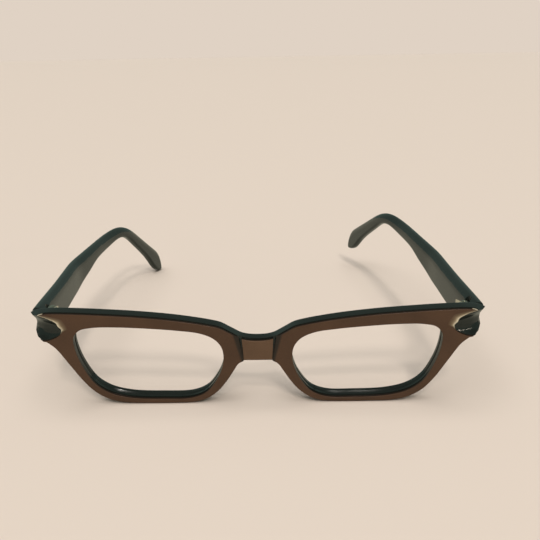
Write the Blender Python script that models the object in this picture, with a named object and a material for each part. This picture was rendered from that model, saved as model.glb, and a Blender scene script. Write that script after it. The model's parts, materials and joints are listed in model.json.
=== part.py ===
"""Cat eye spectacle frame without lenses, standing open on its lower rims and one temple tip.

The front is two layers of acetate: a thick dark base and a thin pearl brown face. The face is
three pieces, parted by a V groove at each side of the bridge. A scoop is milled into each
endpiece, through the face and into the base. Each temple is dark acetate round a core wire and
turns on a sunk five-barrel hinge, with three barrels on the front and two on the temple.

Left and right are the sides of the picture, seen from in front. The front is drawn in its own
plane, X across, Z up and Y back from the visible surface of the face, and then leans forward.
"""
import math
from dataclasses import dataclass

import bmesh
import bpy
from mathutils import Vector

# Sizes of the front, in metres
EYE_WIDTH = 0.0451
EYE_HEIGHT = 0.0261
BRIDGE_WIDTH = 0.0210
LOWER_RIM = 0.00195
BROW_RIM = 0.00475
ENDPIECE_WIDTH = 0.0125
FRONT_THICKNESS = 0.0042
FACE_THICKNESS = 0.0006
FRONT_LEAN = math.radians(8.0)
END_BEVEL_LENGTH = 0.0056
END_BEVEL = 0.0030
REAR_EDGE_ROUNDING = 0.0004
REAR_EYE_ROUNDING = 0.0004
FACE_EDGE_ROUNDING = 0.0001
BASE_MARGIN = 0.0003
LENS_GROOVE_DEPTH = 0.0005
LENS_GROOVE_WIDTH = 0.0011
LENS_GROOVE_SETBACK = 0.0023

# Sizes of the V grooves and the lowered bridge between them
BRIDGE_DROP = 0.0005
V_GROOVE_DEPTH = 0.0008
V_GROOVE_TOP_SHARE = 0.248
V_GROOVE_FOOT_SHARE = 0.212
V_GROOVE_WALL_TOP = 0.0021
V_GROOVE_WALL_FOOT = 0.0009
PATCH_MARGIN = 0.0002

# Sizes of the scoops in the endpieces
SCOOP_FROM_TIP = 0.0093
SCOOP_BEYOND_TIP = 0.0009
SCOOP_DEPTH = 0.0092
SCOOP_HEIGHT_SHARE = 0.2683
SCOOP_BELOW_TOP_SHARE = 0.2805
CRESCENT_WIDTH = 0.0011
CRESCENT_LENGTH = 0.0009

# Sizes of the nose pads cemented behind the rims
PAD_LENGTH = 0.0100
PAD_WIDTH = 0.0030
PAD_DEPTH = 0.0024
PAD_SPLAY = 0.0004
PAD_FROM_EYE = 0.0006
PAD_HEIGHT_SHARE = 0.28
PAD_LEAN = math.radians(26.0)

# Sizes of the temples
TEMPLE_THICKNESS = 0.0038
TEMPLE_HEIGHT = 0.0097
TEMPLE_BELOW_TOP = 0.0008
FRONT_LEG = 0.0479
REAR_LEG = 0.0457
EAR_BEND_LENGTH = 0.0410
TIP_LEG = 0.0144
KINK_SPAN = 0.0130
TIP_ROUNDING = 0.0090
TIP_FOOT_SHARE = 0.3
TEMPLE_EDGE_ROUNDING = 0.0009
TEMPLE_CROWN = 0.00015
TEMPLE_RISE = 0.0006
TEMPLE_RISE_LENGTH = 0.030
TEMPLE_LEAN_SHARE = 0.060

# Sizes of the core wires
CORE_RADIUS = 0.00055
CORE_FROM_OUTSIDE = 0.0020
CORE_START = 0.0082
CORE_END_COVER = 0.0100

# Sizes of the hinges
BARREL_RADIUS = 0.00165
BARREL_HEIGHT = 0.00135
BARREL_COUNT = 5
BARREL_DROP = 0.0093
HINGE_SETBACK = 0.0046
HINGE_INBOARD = 0.0005
LEAF_THICKNESS = 0.0008
LEAF_ARM_THICKNESS = 0.0011
FRONT_LEAF_WIDTH = 0.0076
FRONT_LEAF_HEIGHT = 0.0086
STUD_RADIUS = 0.0006
STUD_LENGTH = 0.0014
STUD_MARGIN = 0.0011
TEMPLE_LEAF_LENGTH = 0.0056
TEMPLE_LEAF_HEIGHT = 0.0052
TEMPLE_LEAF_END_SHARE = 0.5
ARM_ROOT_SHARES = (0.15, 0.85)
SCREW_RADIUS = 0.00055
SCREW_HEAD_RADIUS = 0.0012
SCREW_HEAD_HEIGHT = 0.0006
SCREW_SLOT_WIDTH = 0.0004
SCREW_SLOT_DEPTH = 0.0003

# Fits
SEAT_GAP = 0.0003
RELIEF_GAP = 0.0006
OVERRUN = 0.0020

# Longest corner of an offset outline, in shares of its distance; sharpest shaded angle
MITRE_SHARE = 2.0
SHARP_ANGLE = math.radians(30.0)

# Counts
CURVE_STEPS = 3
TEMPLE_RINGS = 56
CORE_RINGS = 28
CORE_SIDES = 8
BARREL_SIDES = 20

# Sizes that follow
HALF_WIDTH = BRIDGE_WIDTH / 2 + EYE_WIDTH + ENDPIECE_WIDTH
FRONT_HEIGHT = LOWER_RIM + EYE_HEIGHT + BROW_RIM
BASE_FRONT = FACE_THICKNESS + SEAT_GAP
SCOOP_START = HALF_WIDTH - SCOOP_FROM_TIP
SCOOP_LENGTH = SCOOP_FROM_TIP + SCOOP_BEYOND_TIP
SCOOP_HEIGHT = FRONT_HEIGHT * SCOOP_HEIGHT_SHARE
SCOOP_FOOT = FRONT_HEIGHT * (1 - SCOOP_BELOW_TOP_SHARE)
TEMPLE_TOP = FRONT_HEIGHT - TEMPLE_BELOW_TOP
BARREL_FOOT = TEMPLE_TOP - BARREL_DROP
BARREL_PITCH = BARREL_HEIGHT + SEAT_GAP
BARREL_TOP = BARREL_FOOT + BARREL_COUNT * BARREL_PITCH - SEAT_GAP
BARREL_MIDDLE = (BARREL_FOOT + BARREL_TOP) / 2
BORE_RADIUS = SCREW_RADIUS + SEAT_GAP
TEMPLE_LENGTH = FRONT_LEG + REAR_LEG + EAR_BEND_LENGTH + TIP_LEG
HINGE_ACROSS = HALF_WIDTH - TEMPLE_THICKNESS - HINGE_INBOARD
HINGE_BACK = (FRONT_THICKNESS / math.cos(FRONT_LEAN) - BARREL_MIDDLE * math.tan(FRONT_LEAN)
              + HINGE_SETBACK)

# Eye opening, from its nose side and its lowest line, in shares of its width and height
EYE_SHARES = (
    (0.000, 0.593), (0.013, 0.720), (0.060, 0.828), (0.149, 0.903), (0.300, 0.946),
    (0.500, 0.979), (0.700, 1.000), (0.860, 0.997), (0.948, 0.960), (0.993, 0.865),
    (0.996, 0.710), (0.964, 0.465), (0.895, 0.220), (0.800, 0.090), (0.660, 0.020),
    (0.430, 0.000), (0.235, 0.012), (0.130, 0.095), (0.052, 0.275), (0.012, 0.440),
)

# Half outline of the front from the middle of the brow to the tip, and from the tip round the
# endpiece and the lower rim to the middle of the bridge, in shares of half width and height
BROW_SHARES = (
    (0.000, 0.692), (0.067, 0.710), (0.120, 0.773), (0.164, 0.828), (0.212, 0.857),
    (0.351, 0.911), (0.512, 0.952), (0.673, 0.979), (0.833, 0.998), (0.914, 1.000),
    (0.970, 0.988), (1.000, 0.962),
)
RIM_SHARES = (
    (1.000, 0.962), (0.994, 0.876), (0.989, 0.785), (0.983, 0.716), (0.950, 0.705),
    (0.924, 0.683), (0.898, 0.634), (0.848, 0.447), (0.798, 0.260), (0.749, 0.130),
    (0.690, 0.048), (0.621, 0.010), (0.526, 0.000), (0.351, 0.000), (0.282, 0.015),
    (0.234, 0.054), (0.189, 0.130), (0.149, 0.236), (0.113, 0.362), (0.092, 0.434),
    (0.076, 0.460), (0.056, 0.465), (0.028, 0.465), (0.000, 0.465),
)

# Scoop, station by station from its inner end outwards: place in shares of its length, then the
# upper edge, the hollow flank, the valley, the lower flank and the lower edge, each as a height
# and a depth in shares of the scoop's own
SCOOP_SHARES = (
    (0.000, 0.400, 0.000, 0.390, 0.000, 0.370, 0.005, 0.350, 0.000, 0.340, 0.000),
    (0.030, 0.440, 0.000, 0.410, 0.035, 0.350, 0.050, 0.290, 0.035, 0.250, 0.000),
    (0.080, 0.510, 0.000, 0.470, 0.065, 0.370, 0.090, 0.260, 0.060, 0.190, 0.000),
    (0.115, 0.630, 0.000, 0.530, 0.080, 0.370, 0.110, 0.240, 0.075, 0.155, 0.000),
    (0.190, 0.710, 0.000, 0.540, 0.120, 0.350, 0.145, 0.210, 0.100, 0.105, 0.000),
    (0.290, 0.780, 0.000, 0.550, 0.165, 0.335, 0.190, 0.180, 0.130, 0.055, 0.000),
    (0.400, 0.850, 0.000, 0.560, 0.215, 0.320, 0.245, 0.150, 0.170, 0.010, 0.000),
    (0.540, 0.910, 0.000, 0.570, 0.275, 0.300, 0.310, 0.130, 0.220, -0.005, 0.000),
    (0.660, 0.970, 0.020, 0.580, 0.345, 0.280, 0.385, 0.120, 0.270, -0.020, 0.010),
    (0.800, 0.960, 0.160, 0.600, 0.460, 0.290, 0.500, 0.110, 0.360, -0.030, 0.150),
    (0.905, 0.930, 0.330, 0.620, 0.760, 0.330, 0.800, 0.120, 0.470, -0.020, 0.290),
    (1.000, 0.900, 0.450, 0.640, 1.000, 0.400, 1.050, 0.150, 0.600, 0.000, 0.420),
)

# Lit crescent round the scoop in the face, station by station: outwards above and below in
# shares of its width, and towards the nose in shares of its length
CRESCENT_SHARES = (
    (0.05, 0.05, 0.10), (0.20, 0.05, 0.35), (0.30, 0.05, 0.80), (0.45, 0.05, 0.85),
    (0.50, 0.05, 0.55), (0.45, 0.05, 0.30), (0.40, 0.05, 0.15), (0.35, 0.05, 0.05),
    (0.35, 0.05, 0.00), (0.35, 0.05, 0.00), (0.35, 0.05, 0.00), (0.35, 0.05, 0.00),
)

# Height and thickness of a temple along its length, in shares of all three
HEIGHT_SHARES = (
    (0.00, 1.00), (0.12, 1.02), (0.22, 0.99), (0.30, 0.96), (0.38, 0.80), (0.46, 0.59),
    (0.56, 0.54), (0.68, 0.46), (0.78, 0.57), (0.88, 0.70), (0.96, 0.95), (1.00, 0.97),
)
# Start and span of the drop over the ear and of the turn behind it, in shares of the ear bend
EAR_DROP_SHARES = (-0.078, 0.647)
EAR_TURN_SHARES = (-0.487, 0.734)
THICKNESS_SHARES = ((0.00, 1.00), (0.30, 0.98), (0.60, 0.86), (0.80, 0.82), (1.00, 0.80))

# Outline of a nose pad, half of it, in shares of half its width and half its length, and its
# layers from the rim backwards in shares of its depth, half its width and its splay
PAD_SHARES = ((0.0, 1.0), (0.55, 0.86), (0.88, 0.50), (1.0, 0.0), (0.94, -0.48), (0.62, -0.86))
PAD_LAYER_SHARES = ((0.0, 0.0, 0.0), (0.55, 0.10, 0.4), (0.85, 0.28, 0.8), (1.0, 0.50, 1.0))


@dataclass(frozen=True)
class Fitting:
    """How an optician has bent one temple: three angles inwards, a lift and the ear's drop."""

    name: str
    side: int
    front_angle: float
    rear_angle: float
    tip_angle: float
    lift: float
    drop: float


FITTINGS = (
    Fitting("left", -1, math.radians(-3.93), math.radians(3.96), math.radians(14.2),
            math.radians(0.20), math.radians(35.5)),
    Fitting("right", 1, math.radians(2.19), math.radians(7.98), math.radians(16.4),
            math.radians(2.77), math.radians(30.0)),
)

# Finishes: colour, roughness and metallic value
FINISHES = {
    "dark_acetate": ((0.012, 0.016, 0.014), 0.18, 0.0),
    "pearl_brown_acetate": ((0.085, 0.050, 0.032), 0.30, 0.35),
    "bridge_pearl_acetate": ((0.120, 0.072, 0.045), 0.30, 0.35),
    "nickel_silver": ((0.62, 0.60, 0.56), 0.28, 1.0),
    "core_wire": ((0.50, 0.49, 0.46), 0.40, 1.0),
}


def clear_scene():
    """Remove every object that the file holds."""
    for item in list(bpy.data.objects):
        bpy.data.objects.remove(item, do_unlink=True)


def make_material(name, finish):
    """A Principled material for one sub-part."""
    colour, roughness, metallic = FINISHES[finish]
    material = bpy.data.materials.new(name + "_" + finish)
    material.use_nodes = True
    shader = material.node_tree.nodes["Principled BSDF"]
    shader.inputs["Base Color"].default_value = (*colour, 1.0)
    shader.inputs["Roughness"].default_value = roughness
    shader.inputs["Metallic"].default_value = metallic
    material.diffuse_color = (*colour, 1.0)
    return material


def add_object(name, mesh, parent, finish=None):
    """Link a finished bmesh as an object; without a finish it is a cutter."""
    bmesh.ops.recalc_face_normals(mesh, faces=mesh.faces)
    data = bpy.data.meshes.new(name)
    mesh.to_mesh(data)
    mesh.free()
    item = bpy.data.objects.new(name, data)
    bpy.context.scene.collection.objects.link(item)
    item.parent = parent
    if finish is None:
        item.hide_render = True
        item.display_type = "WIRE"
    else:
        data.materials.append(make_material(name, finish))
        data.shade_smooth()
        data.set_sharp_from_angle(angle=SHARP_ANGLE)
    return item


def combine(item, other, operation):
    """Leave a live Boolean with an exact solver on an object."""
    modifier = item.modifiers.new(operation.lower() + "_" + other.name, "BOOLEAN")
    modifier.operation = operation
    modifier.solver = "EXACT"
    modifier.object = other


def loft(name, rings, parent, finish=None):
    """A closed solid through rings of equally many points, with a flat face at each end."""
    mesh = bmesh.new()
    rows = [[mesh.verts.new(point) for point in ring] for ring in rings]
    for near, far in zip(rows, rows[1:]):
        for index in range(len(near)):
            following = (index + 1) % len(near)
            mesh.faces.new((near[index], near[following], far[following], far[index]))
    mesh.faces.new(rows[0][::-1])
    mesh.faces.new(rows[-1])
    return add_object(name, mesh, parent, finish)


def curve_point(points, share):
    """Point on the centripetal curve between the middle two of four points."""
    knots = [0.0]
    for near, far in zip(points, points[1:]):
        knots.append(knots[-1] + math.sqrt((far - near).length))
    place = knots[1] + (knots[2] - knots[1]) * share
    row = list(points)
    for spans in (((0, 1), (1, 2), (2, 3)), ((0, 2), (1, 3)), ((1, 2),)):
        row = [row[i].lerp(row[i + 1], (place - knots[a]) / (knots[b] - knots[a]))
               for i, (a, b) in enumerate(spans)]
    return row[0]


def smooth_curve(points, closed):
    """Points on a smooth curve through the given points, without the last one if it is open."""
    if closed:
        chain = [points[-1], *points, points[0], points[1]]
    else:
        chain = [points[0] * 2 - points[1], *points, points[-1] * 2 - points[-2]]
    return [curve_point(chain[i:i + 4], step / CURVE_STEPS)
            for i in range(len(chain) - 3) for step in range(CURVE_STEPS)]


def offset(outline, distance):
    """A closed outline moved outwards by a distance, or inwards by a negative one."""
    count = len(outline)
    area = sum(outline[i].cross(outline[(i + 1) % count]) for i in range(count))
    turn = math.copysign(1.0, area) * distance
    moved = []
    for index, point in enumerate(outline):
        before = (point - outline[index - 1]).normalized()
        after = (outline[(index + 1) % count] - point).normalized()
        along = (before + after).normalized()
        reach = turn * min(1 / along.dot(after), MITRE_SHARE)
        moved.append(point + Vector((along.y, -along.x)) * reach)
    return moved


def bevelled(across, depth):
    """Place across of a point of the rear outline at another depth, drawn in by the end bevel."""
    beyond = max(across - HALF_WIDTH + END_BEVEL_LENGTH, 0.0)
    lost = END_BEVEL * beyond / END_BEVEL_LENGTH
    return across - lost * (1 - depth / FRONT_THICKNESS)


def front_outline(depth):
    """Closed outline of the front at one depth, with a sharp corner at each brow tip."""
    brow, rim = ([Vector((bevelled(across * HALF_WIDTH, depth), up * FRONT_HEIGHT))
                  for across, up in shares] for shares in (BROW_SHARES, RIM_SHARES))
    left_brow = [Vector((-point.x, point.y)) for point in reversed(brow[1:])]
    left_rim = [Vector((-point.x, point.y)) for point in reversed(rim[:-1])]
    return smooth_curve(left_brow + brow, False) + smooth_curve(rim + left_rim, False)


def eye_outline(side):
    """Closed outline of one eye opening."""
    return smooth_curve([Vector((side * (BRIDGE_WIDTH / 2 + across * EYE_WIDTH),
                                 LOWER_RIM + up * EYE_HEIGHT)) for across, up in EYE_SHARES], True)


def in_front_plane(outline, depth):
    """A ring of the front at one depth behind the visible surface of the face."""
    return [Vector((point.x, depth, point.y)) for point in outline]


def stacked(outline, levels):
    """Rings of one outline at pairs of depth and outward offset."""
    return [in_front_plane(offset(outline, grown), depth) for depth, grown in levels]


def stacked_front(levels):
    """Rings of the front's outline at pairs of depth and outward offset."""
    return [in_front_plane(offset(front_outline(depth), grown), depth) for depth, grown in levels]


def box(name, low, high, parent, finish=None):
    """An upright box between two corners."""
    rings = [[Vector((low[0], low[1], z)), Vector((high[0], low[1], z)),
              Vector((high[0], high[1], z)), Vector((low[0], high[1], z))]
             for z in (low[2], high[2])]
    return loft(name, rings, parent, finish)


def disc_ring(centre, radius, sides, across=Vector((1, 0, 0)), up=Vector((0, 1, 0))):
    """A round ring about a centre, in the plane of two directions."""
    return [centre + (across * math.cos(turn) + up * math.sin(turn)) * radius
            for turn in (2 * math.pi * step / sides for step in range(sides))]


def cylinder(name, centre, radius, foot, top, parent, finish=None):
    """An upright cylinder between two heights."""
    rings = [disc_ring(Vector((centre.x, centre.y, height)), radius, BARREL_SIDES)
             for height in (foot, top)]
    return loft(name, rings, parent, finish)


def eye_cutters(front):
    """The two eye openings of the base, each with its lens groove and its rounded rear edge."""
    half_groove = LENS_GROOVE_WIDTH / 2
    levels = (
        (-OVERRUN, 0.0),
        (LENS_GROOVE_SETBACK - half_groove, 0.0),
        (LENS_GROOVE_SETBACK, LENS_GROOVE_DEPTH),
        (LENS_GROOVE_SETBACK + half_groove, 0.0),
        (FRONT_THICKNESS - REAR_EYE_ROUNDING, 0.0),
        (FRONT_THICKNESS, REAR_EYE_ROUNDING),
        (FRONT_THICKNESS + OVERRUN, REAR_EYE_ROUNDING),
    )
    return {fit.side: loft(fit.name + "_eye_cutter", stacked(eye_outline(fit.side), levels), front)
            for fit in FITTINGS}


def face_eye_cutters(front):
    """The eye openings of the face layer, with a small rounding at the front edge."""
    levels = (
        (-OVERRUN, FACE_EDGE_ROUNDING),
        (0.0, FACE_EDGE_ROUNDING),
        (FACE_EDGE_ROUNDING, 0.0),
        (FACE_THICKNESS + OVERRUN, 0.0),
    )
    return {fit.side: loft(fit.name + "_face_eye_cutter", stacked(eye_outline(fit.side), levels),
                           front) for fit in FITTINGS}


def scoop_station(fit, shares):
    """Place across and the five pairs of depth and height of one scoop station."""
    across = fit.side * (SCOOP_START + shares[0] * SCOOP_LENGTH)
    return across, [(deep * SCOOP_DEPTH, SCOOP_FOOT + up * SCOOP_HEIGHT)
                    for up, deep in zip(shares[1::2], shares[2::2])]


def scoop_cutter(fit, front):
    """The milled scoop of one endpiece, which deepens outwards and runs out on the temple."""
    rings = []
    for shares in SCOOP_SHARES:
        across, section = scoop_station(fit, shares)
        section = [(-OVERRUN, section[0][1]), *section, (-OVERRUN, section[-1][1])]
        rings.append([Vector((across, depth, up)) for depth, up in section])
    return loft(fit.name + "_scoop_cutter", rings, front)


def face_scoop_cutter(fit, front):
    """The scoop through the face, flared towards the front to leave the lit crescent."""
    rings = []
    for depth in (-OVERRUN, BASE_FRONT):
        flare = 1 - depth / BASE_FRONT
        upper_rim = []
        lower_rim = []
        for shares, (above, below, noseward) in zip(SCOOP_SHARES, CRESCENT_SHARES):
            across, section = scoop_station(fit, shares)
            across -= fit.side * noseward * CRESCENT_LENGTH * flare
            upper_rim.append(Vector((across, depth,
                                     section[0][1] + above * CRESCENT_WIDTH * flare)))
            lower_rim.append(Vector((across, depth,
                                     section[-1][1] - below * CRESCENT_WIDTH * flare)))
        rings.append(upper_rim + lower_rim[::-1])
    return loft(fit.name + "_face_scoop_cutter", rings, front)


def groove_line(side, height, outwards=0.0):
    """Place across of a V groove's bottom at one height, or of its rim with outwards at 1."""
    foot, top = (FRONT_HEIGHT * place[1] for place in (RIM_SHARES[-1], BROW_SHARES[2]))
    share = (height - foot) / (top - foot)
    bottom = BRIDGE_WIDTH * (V_GROOVE_FOOT_SHARE
                             + (V_GROOVE_TOP_SHARE - V_GROOVE_FOOT_SHARE) * share)
    wall = V_GROOVE_WALL_FOOT + (V_GROOVE_WALL_TOP - V_GROOVE_WALL_FOOT) * share
    return side * (bottom + wall * outwards)


def groove_span():
    """Heights just below and above the bridge, between which a groove runs."""
    return (FRONT_HEIGHT * RIM_SHARES[-1][1] - OVERRUN / 2,
            FRONT_HEIGHT * BROW_SHARES[3][1] + OVERRUN / 2)


def groove_cutter(fit, front):
    """A V groove through the face and into the base, steep beside the bridge."""
    rings = []
    bottom = BASE_FRONT + V_GROOVE_DEPTH
    flare = (bottom + OVERRUN) / bottom
    for height in groove_span():
        low = groove_line(fit.side, height)
        rings.append([Vector((low - fit.side * SEAT_GAP, -OVERRUN, height)),
                      Vector((low - fit.side * SEAT_GAP, BASE_FRONT + BRIDGE_DROP, height)),
                      Vector((low, bottom, height)),
                      Vector((groove_line(fit.side, height, flare), -OVERRUN, height))])
    return loft(fit.name + "_groove_cutter", rings, front)


def bridge_drop_cutter(front):
    """Lowers the bridge between the two grooves."""
    foot, top = groove_span()
    corners = [(groove_line(-1, foot), foot), (groove_line(1, foot), foot),
               (groove_line(1, top), top), (groove_line(-1, top), top)]
    rings = [[Vector((across, depth, up)) for across, up in corners]
             for depth in (-OVERRUN, BASE_FRONT + BRIDGE_DROP)]
    return loft("bridge_drop_cutter", rings, front)


def face_region(name, front, edges):
    """A prism that keeps one piece of the face, between two slanted edges across the front."""
    foot = -OVERRUN
    top = FRONT_HEIGHT + OVERRUN
    corners = [(edges[0](foot), foot), (edges[1](foot), foot),
               (edges[1](top), top), (edges[0](top), top)]
    rings = [[Vector((across, depth, up)) for across, up in corners]
             for depth in (-OVERRUN, BASE_FRONT + OVERRUN)]
    return loft(name, rings, front)


def face_blank(name, front, finish, shift):
    """The whole face layer before it is parted."""
    levels = (
        (shift, -FACE_EDGE_ROUNDING),
        (shift + FACE_EDGE_ROUNDING, 0.0),
        (shift + FACE_THICKNESS, 0.0),
    )
    return loft(name, stacked_front(levels), front, finish)


def build_face(front, grooves):
    """The three pieces of the pearl brown face."""
    eyes = face_eye_cutters(front)
    beyond = HALF_WIDTH + OVERRUN
    for fit in FITTINGS:
        side = fit.side
        piece = face_blank(fit.name + "_face", front, "pearl_brown_acetate", 0.0)
        region = face_region(fit.name + "_face_region", front,
                             (lambda up: groove_line(side, up),
                              lambda up: side * beyond))
        combine(piece, region, "INTERSECT")
        combine(piece, eyes[side], "DIFFERENCE")
        combine(piece, face_scoop_cutter(fit, front), "DIFFERENCE")
        combine(piece, grooves[side], "DIFFERENCE")
    reach = SEAT_GAP + PATCH_MARGIN
    patch = face_blank("bridge_face", front, "bridge_pearl_acetate", BRIDGE_DROP)
    region = face_region("bridge_face_region", front,
                         (lambda up: groove_line(-1, up) + reach,
                          lambda up: groove_line(1, up) - reach))
    combine(patch, region, "INTERSECT")


def build_base(front, leaf_cutters, scoops, grooves):
    """The thick dark base with its eye openings, scoops, grooves and hinge seats."""
    third = REAR_EDGE_ROUNDING / 3
    levels = (
        (BASE_FRONT, BASE_MARGIN),
        (FRONT_THICKNESS - REAR_EDGE_ROUNDING, BASE_MARGIN),
        (FRONT_THICKNESS - third, BASE_MARGIN - third),
        (FRONT_THICKNESS, BASE_MARGIN - REAR_EDGE_ROUNDING),
    )
    base = loft("front_base", stacked_front(levels), front, "dark_acetate")
    for cutter in eye_cutters(front).values():
        combine(base, cutter, "DIFFERENCE")
    for fit in FITTINGS:
        combine(base, scoops[fit.side], "DIFFERENCE")
        combine(base, grooves[fit.side], "DIFFERENCE")
    combine(base, bridge_drop_cutter(front), "DIFFERENCE")
    for cutter in leaf_cutters:
        combine(base, cutter, "DIFFERENCE")


def build_nose_pads(front):
    """Cemented acetate pads on the nose side of each rim, splayed outwards to the back."""
    half = [Vector((across * PAD_WIDTH / 2, up * PAD_LENGTH / 2)) for across, up in PAD_SHARES]
    mirrored = [Vector((-point.x, point.y)) for point in reversed(half[1:])]
    outline = smooth_curve(half + mirrored, True)
    for fit in FITTINGS:
        lean = PAD_LEAN * fit.side
        middle = BRIDGE_WIDTH / 2 - PAD_FROM_EYE
        rings = []
        for deep, shrunk, splay in PAD_LAYER_SHARES:
            ring = []
            for point in outline:
                wide = point.x * (1 - shrunk)
                long = point.y * (1 - shrunk * PAD_WIDTH / PAD_LENGTH)
                across = wide * math.cos(lean) + long * math.sin(lean)
                up = long * math.cos(lean) - wide * math.sin(lean)
                ring.append(Vector((fit.side * (middle + splay * PAD_SPLAY) - across,
                                    FRONT_THICKNESS + SEAT_GAP + deep * PAD_DEPTH,
                                    PAD_HEIGHT_SHARE * FRONT_HEIGHT + up)))
            rings.append(ring)
        loft(fit.name + "_nose_pad", rings, front, "dark_acetate")


def eased(table, share):
    """Smooth value from a table of pairs, at one place along it."""
    last = len(table) - 1
    index = max(i for i in range(last) if share >= table[i][0])
    low, high = table[index], table[index + 1]
    span = high[0] - low[0]

    def slope(i):
        before, after = table[max(i - 1, 0)], table[min(i + 1, last)]
        return (after[1] - before[1]) / (after[0] - before[0])

    t = (share - low[0]) / span
    return ((2 * t ** 3 - 3 * t ** 2 + 1) * low[1] + (t ** 3 - 2 * t ** 2 + t) * span * slope(index)
            + (3 * t ** 2 - 2 * t ** 3) * high[1] + (t ** 3 - t ** 2) * span * slope(index + 1))


def ramp(place, start, span):
    """Smooth step from 0 to 1 between a start and the end of a span."""
    share = min(max((place - start) / span, 0.0), 1.0)
    return share * share * (3 - 2 * share)


def ear_ramp(along, shares):
    """Smooth step over the ear, from its start and span in shares of the ear bend."""
    start, span = shares
    return ramp(along, FRONT_LEG + REAR_LEG + start * EAR_BEND_LENGTH, span * EAR_BEND_LENGTH)


class TemplePath:
    """The outer top edge of one temple, with the directions that turn along it."""

    def __init__(self, fit, rings):
        self.fit = fit
        self.step = TEMPLE_LENGTH / rings
        self.frames = []
        place = Vector((fit.side * HALF_WIDTH, self.rear_plane(TEMPLE_TOP), TEMPLE_TOP))
        for index in range(rings + 1):
            along = index * self.step
            self.frames.append((along, place.copy(), *self.directions(along)))
            place += self.directions(along + self.step / 2)[0] * self.step

    @staticmethod
    def rear_plane(height):
        """How far back the temple's end starts at one height."""
        return ((FRONT_THICKNESS + SEAT_GAP) / math.cos(FRONT_LEAN)
                - height * math.tan(FRONT_LEAN))

    def directions(self, along):
        """Along the temple, inwards and upwards, at one distance along it."""
        fit = self.fit
        turn = (fit.front_angle
                + (fit.rear_angle - fit.front_angle) * ramp(along, FRONT_LEG - KINK_SPAN / 2,
                                                            KINK_SPAN)
                + (fit.tip_angle - fit.rear_angle) * ear_ramp(along, EAR_TURN_SHARES))
        pitch = fit.lift - fit.drop * ear_ramp(along, EAR_DROP_SHARES)
        forward = Vector((-fit.side * math.sin(turn) * math.cos(pitch),
                          math.cos(turn) * math.cos(pitch), math.sin(pitch)))
        inward = Vector((-fit.side * math.cos(turn), -math.sin(turn), 0.0))
        upward = Vector((fit.side * math.sin(turn) * math.sin(pitch),
                         -math.cos(turn) * math.sin(pitch), math.cos(pitch)))
        return forward, inward, upward

    def point(self, along, depth, drop):
        """A point at a distance along, a depth from the outside and a drop from the top edge."""
        index = min(max(int(along / self.step), 0), len(self.frames) - 1)
        start, place, forward, inward, upward = self.frames[index]
        return (place + forward * (along - start) + inward * (depth + drop * TEMPLE_LEAN_SHARE)
                - upward * drop)


def temple_section(path, frame):
    """One ring of a temple: a rounded oblong with a slightly crowned outer side."""
    along = frame[0]
    share = along / TEMPLE_LENGTH
    full = eased(HEIGHT_SHARES, share) * TEMPLE_HEIGHT
    thickness = eased(THICKNESS_SHARES, share) * TEMPLE_THICKNESS
    left_over = max(TEMPLE_LENGTH - along, path.step / 4)
    closing = min(left_over / TIP_ROUNDING, 1.0)
    narrowing = math.sqrt(closing * (2 - closing))
    height = full * narrowing
    rounding = min(TEMPLE_EDGE_ROUNDING, height / 3, thickness / 3)
    foot = full - (full - height) * TIP_FOOT_SHARE
    top = foot - height - TEMPLE_RISE * (1 - ramp(along, 0.0, TEMPLE_RISE_LENGTH))
    corners = ((rounding, top + rounding, math.pi), (thickness - rounding, top + rounding,
                                                     math.pi * 3 / 2),
               (thickness - rounding, foot - rounding, 0.0),
               (rounding, foot - rounding, math.pi / 2))
    ring = []
    for depth, drop, start in corners:
        for quarter in range(3):
            turn = start + quarter * math.pi / 4
            ring.append((depth + rounding * math.cos(turn), drop + rounding * math.sin(turn)))
    ring.append((-TEMPLE_CROWN, (top + foot) / 2))
    return [path.point(along, depth, drop) for depth, drop in ring]


def slide_to_front(points, forward):
    """Move points along a direction until they lie just behind the front's rear face."""
    back = Vector((0.0, math.cos(FRONT_LEAN), math.sin(FRONT_LEAN)))
    depth = FRONT_THICKNESS + SEAT_GAP
    return [point + forward * ((depth - back.dot(point)) / back.dot(forward)) for point in points]


def sweep_ring(path, along, radius):
    """A round ring about the core's line."""
    index = min(int(along / path.step), len(path.frames) - 1)
    _start, _place, _forward, inward, upward = path.frames[index]
    share = along / TEMPLE_LENGTH
    drop = eased(HEIGHT_SHARES, share) * TEMPLE_HEIGHT / 2
    centre = path.point(along, CORE_FROM_OUTSIDE * eased(THICKNESS_SHARES, share), drop)
    return disc_ring(centre, radius, CORE_SIDES, inward, upward)


def build_temple(fit, pivot):
    """One temple with its core wire."""
    path = TemplePath(fit, TEMPLE_RINGS)
    rings = [temple_section(path, frame) for frame in path.frames]
    rings[0] = slide_to_front(rings[0], path.frames[0][2])
    temple = loft(fit.name + "_temple", local(rings, pivot), pivot, "dark_acetate")
    end = TEMPLE_LENGTH - CORE_END_COVER
    start = CORE_START - BARREL_RADIUS - SEAT_GAP

    def wire(name, first, last, radius, finish=None):
        stations = [first + (last - first) * i / CORE_RINGS for i in range(CORE_RINGS + 1)]
        shape = [sweep_ring(path, along, radius) for along in stations]
        return loft(name, local(shape, pivot), pivot, finish)

    combine(temple, wire(fit.name + "_core_bore_cutter", start, end + SEAT_GAP,
                         CORE_RADIUS + SEAT_GAP), "DIFFERENCE")
    wire(fit.name + "_temple_core", CORE_START, end, CORE_RADIUS, "core_wire")
    relief = cylinder(fit.name + "_relief_cutter", Vector((0.0, 0.0)), BARREL_RADIUS + RELIEF_GAP,
                      -TEMPLE_TOP, TEMPLE_TOP, pivot)
    combine(temple, relief, "DIFFERENCE")
    return temple, path


def local(rings, pivot):
    """Rings given in the whole part's frame, seen from a pivot empty."""
    return [[point - pivot.location for point in ring] for ring in rings]


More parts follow.
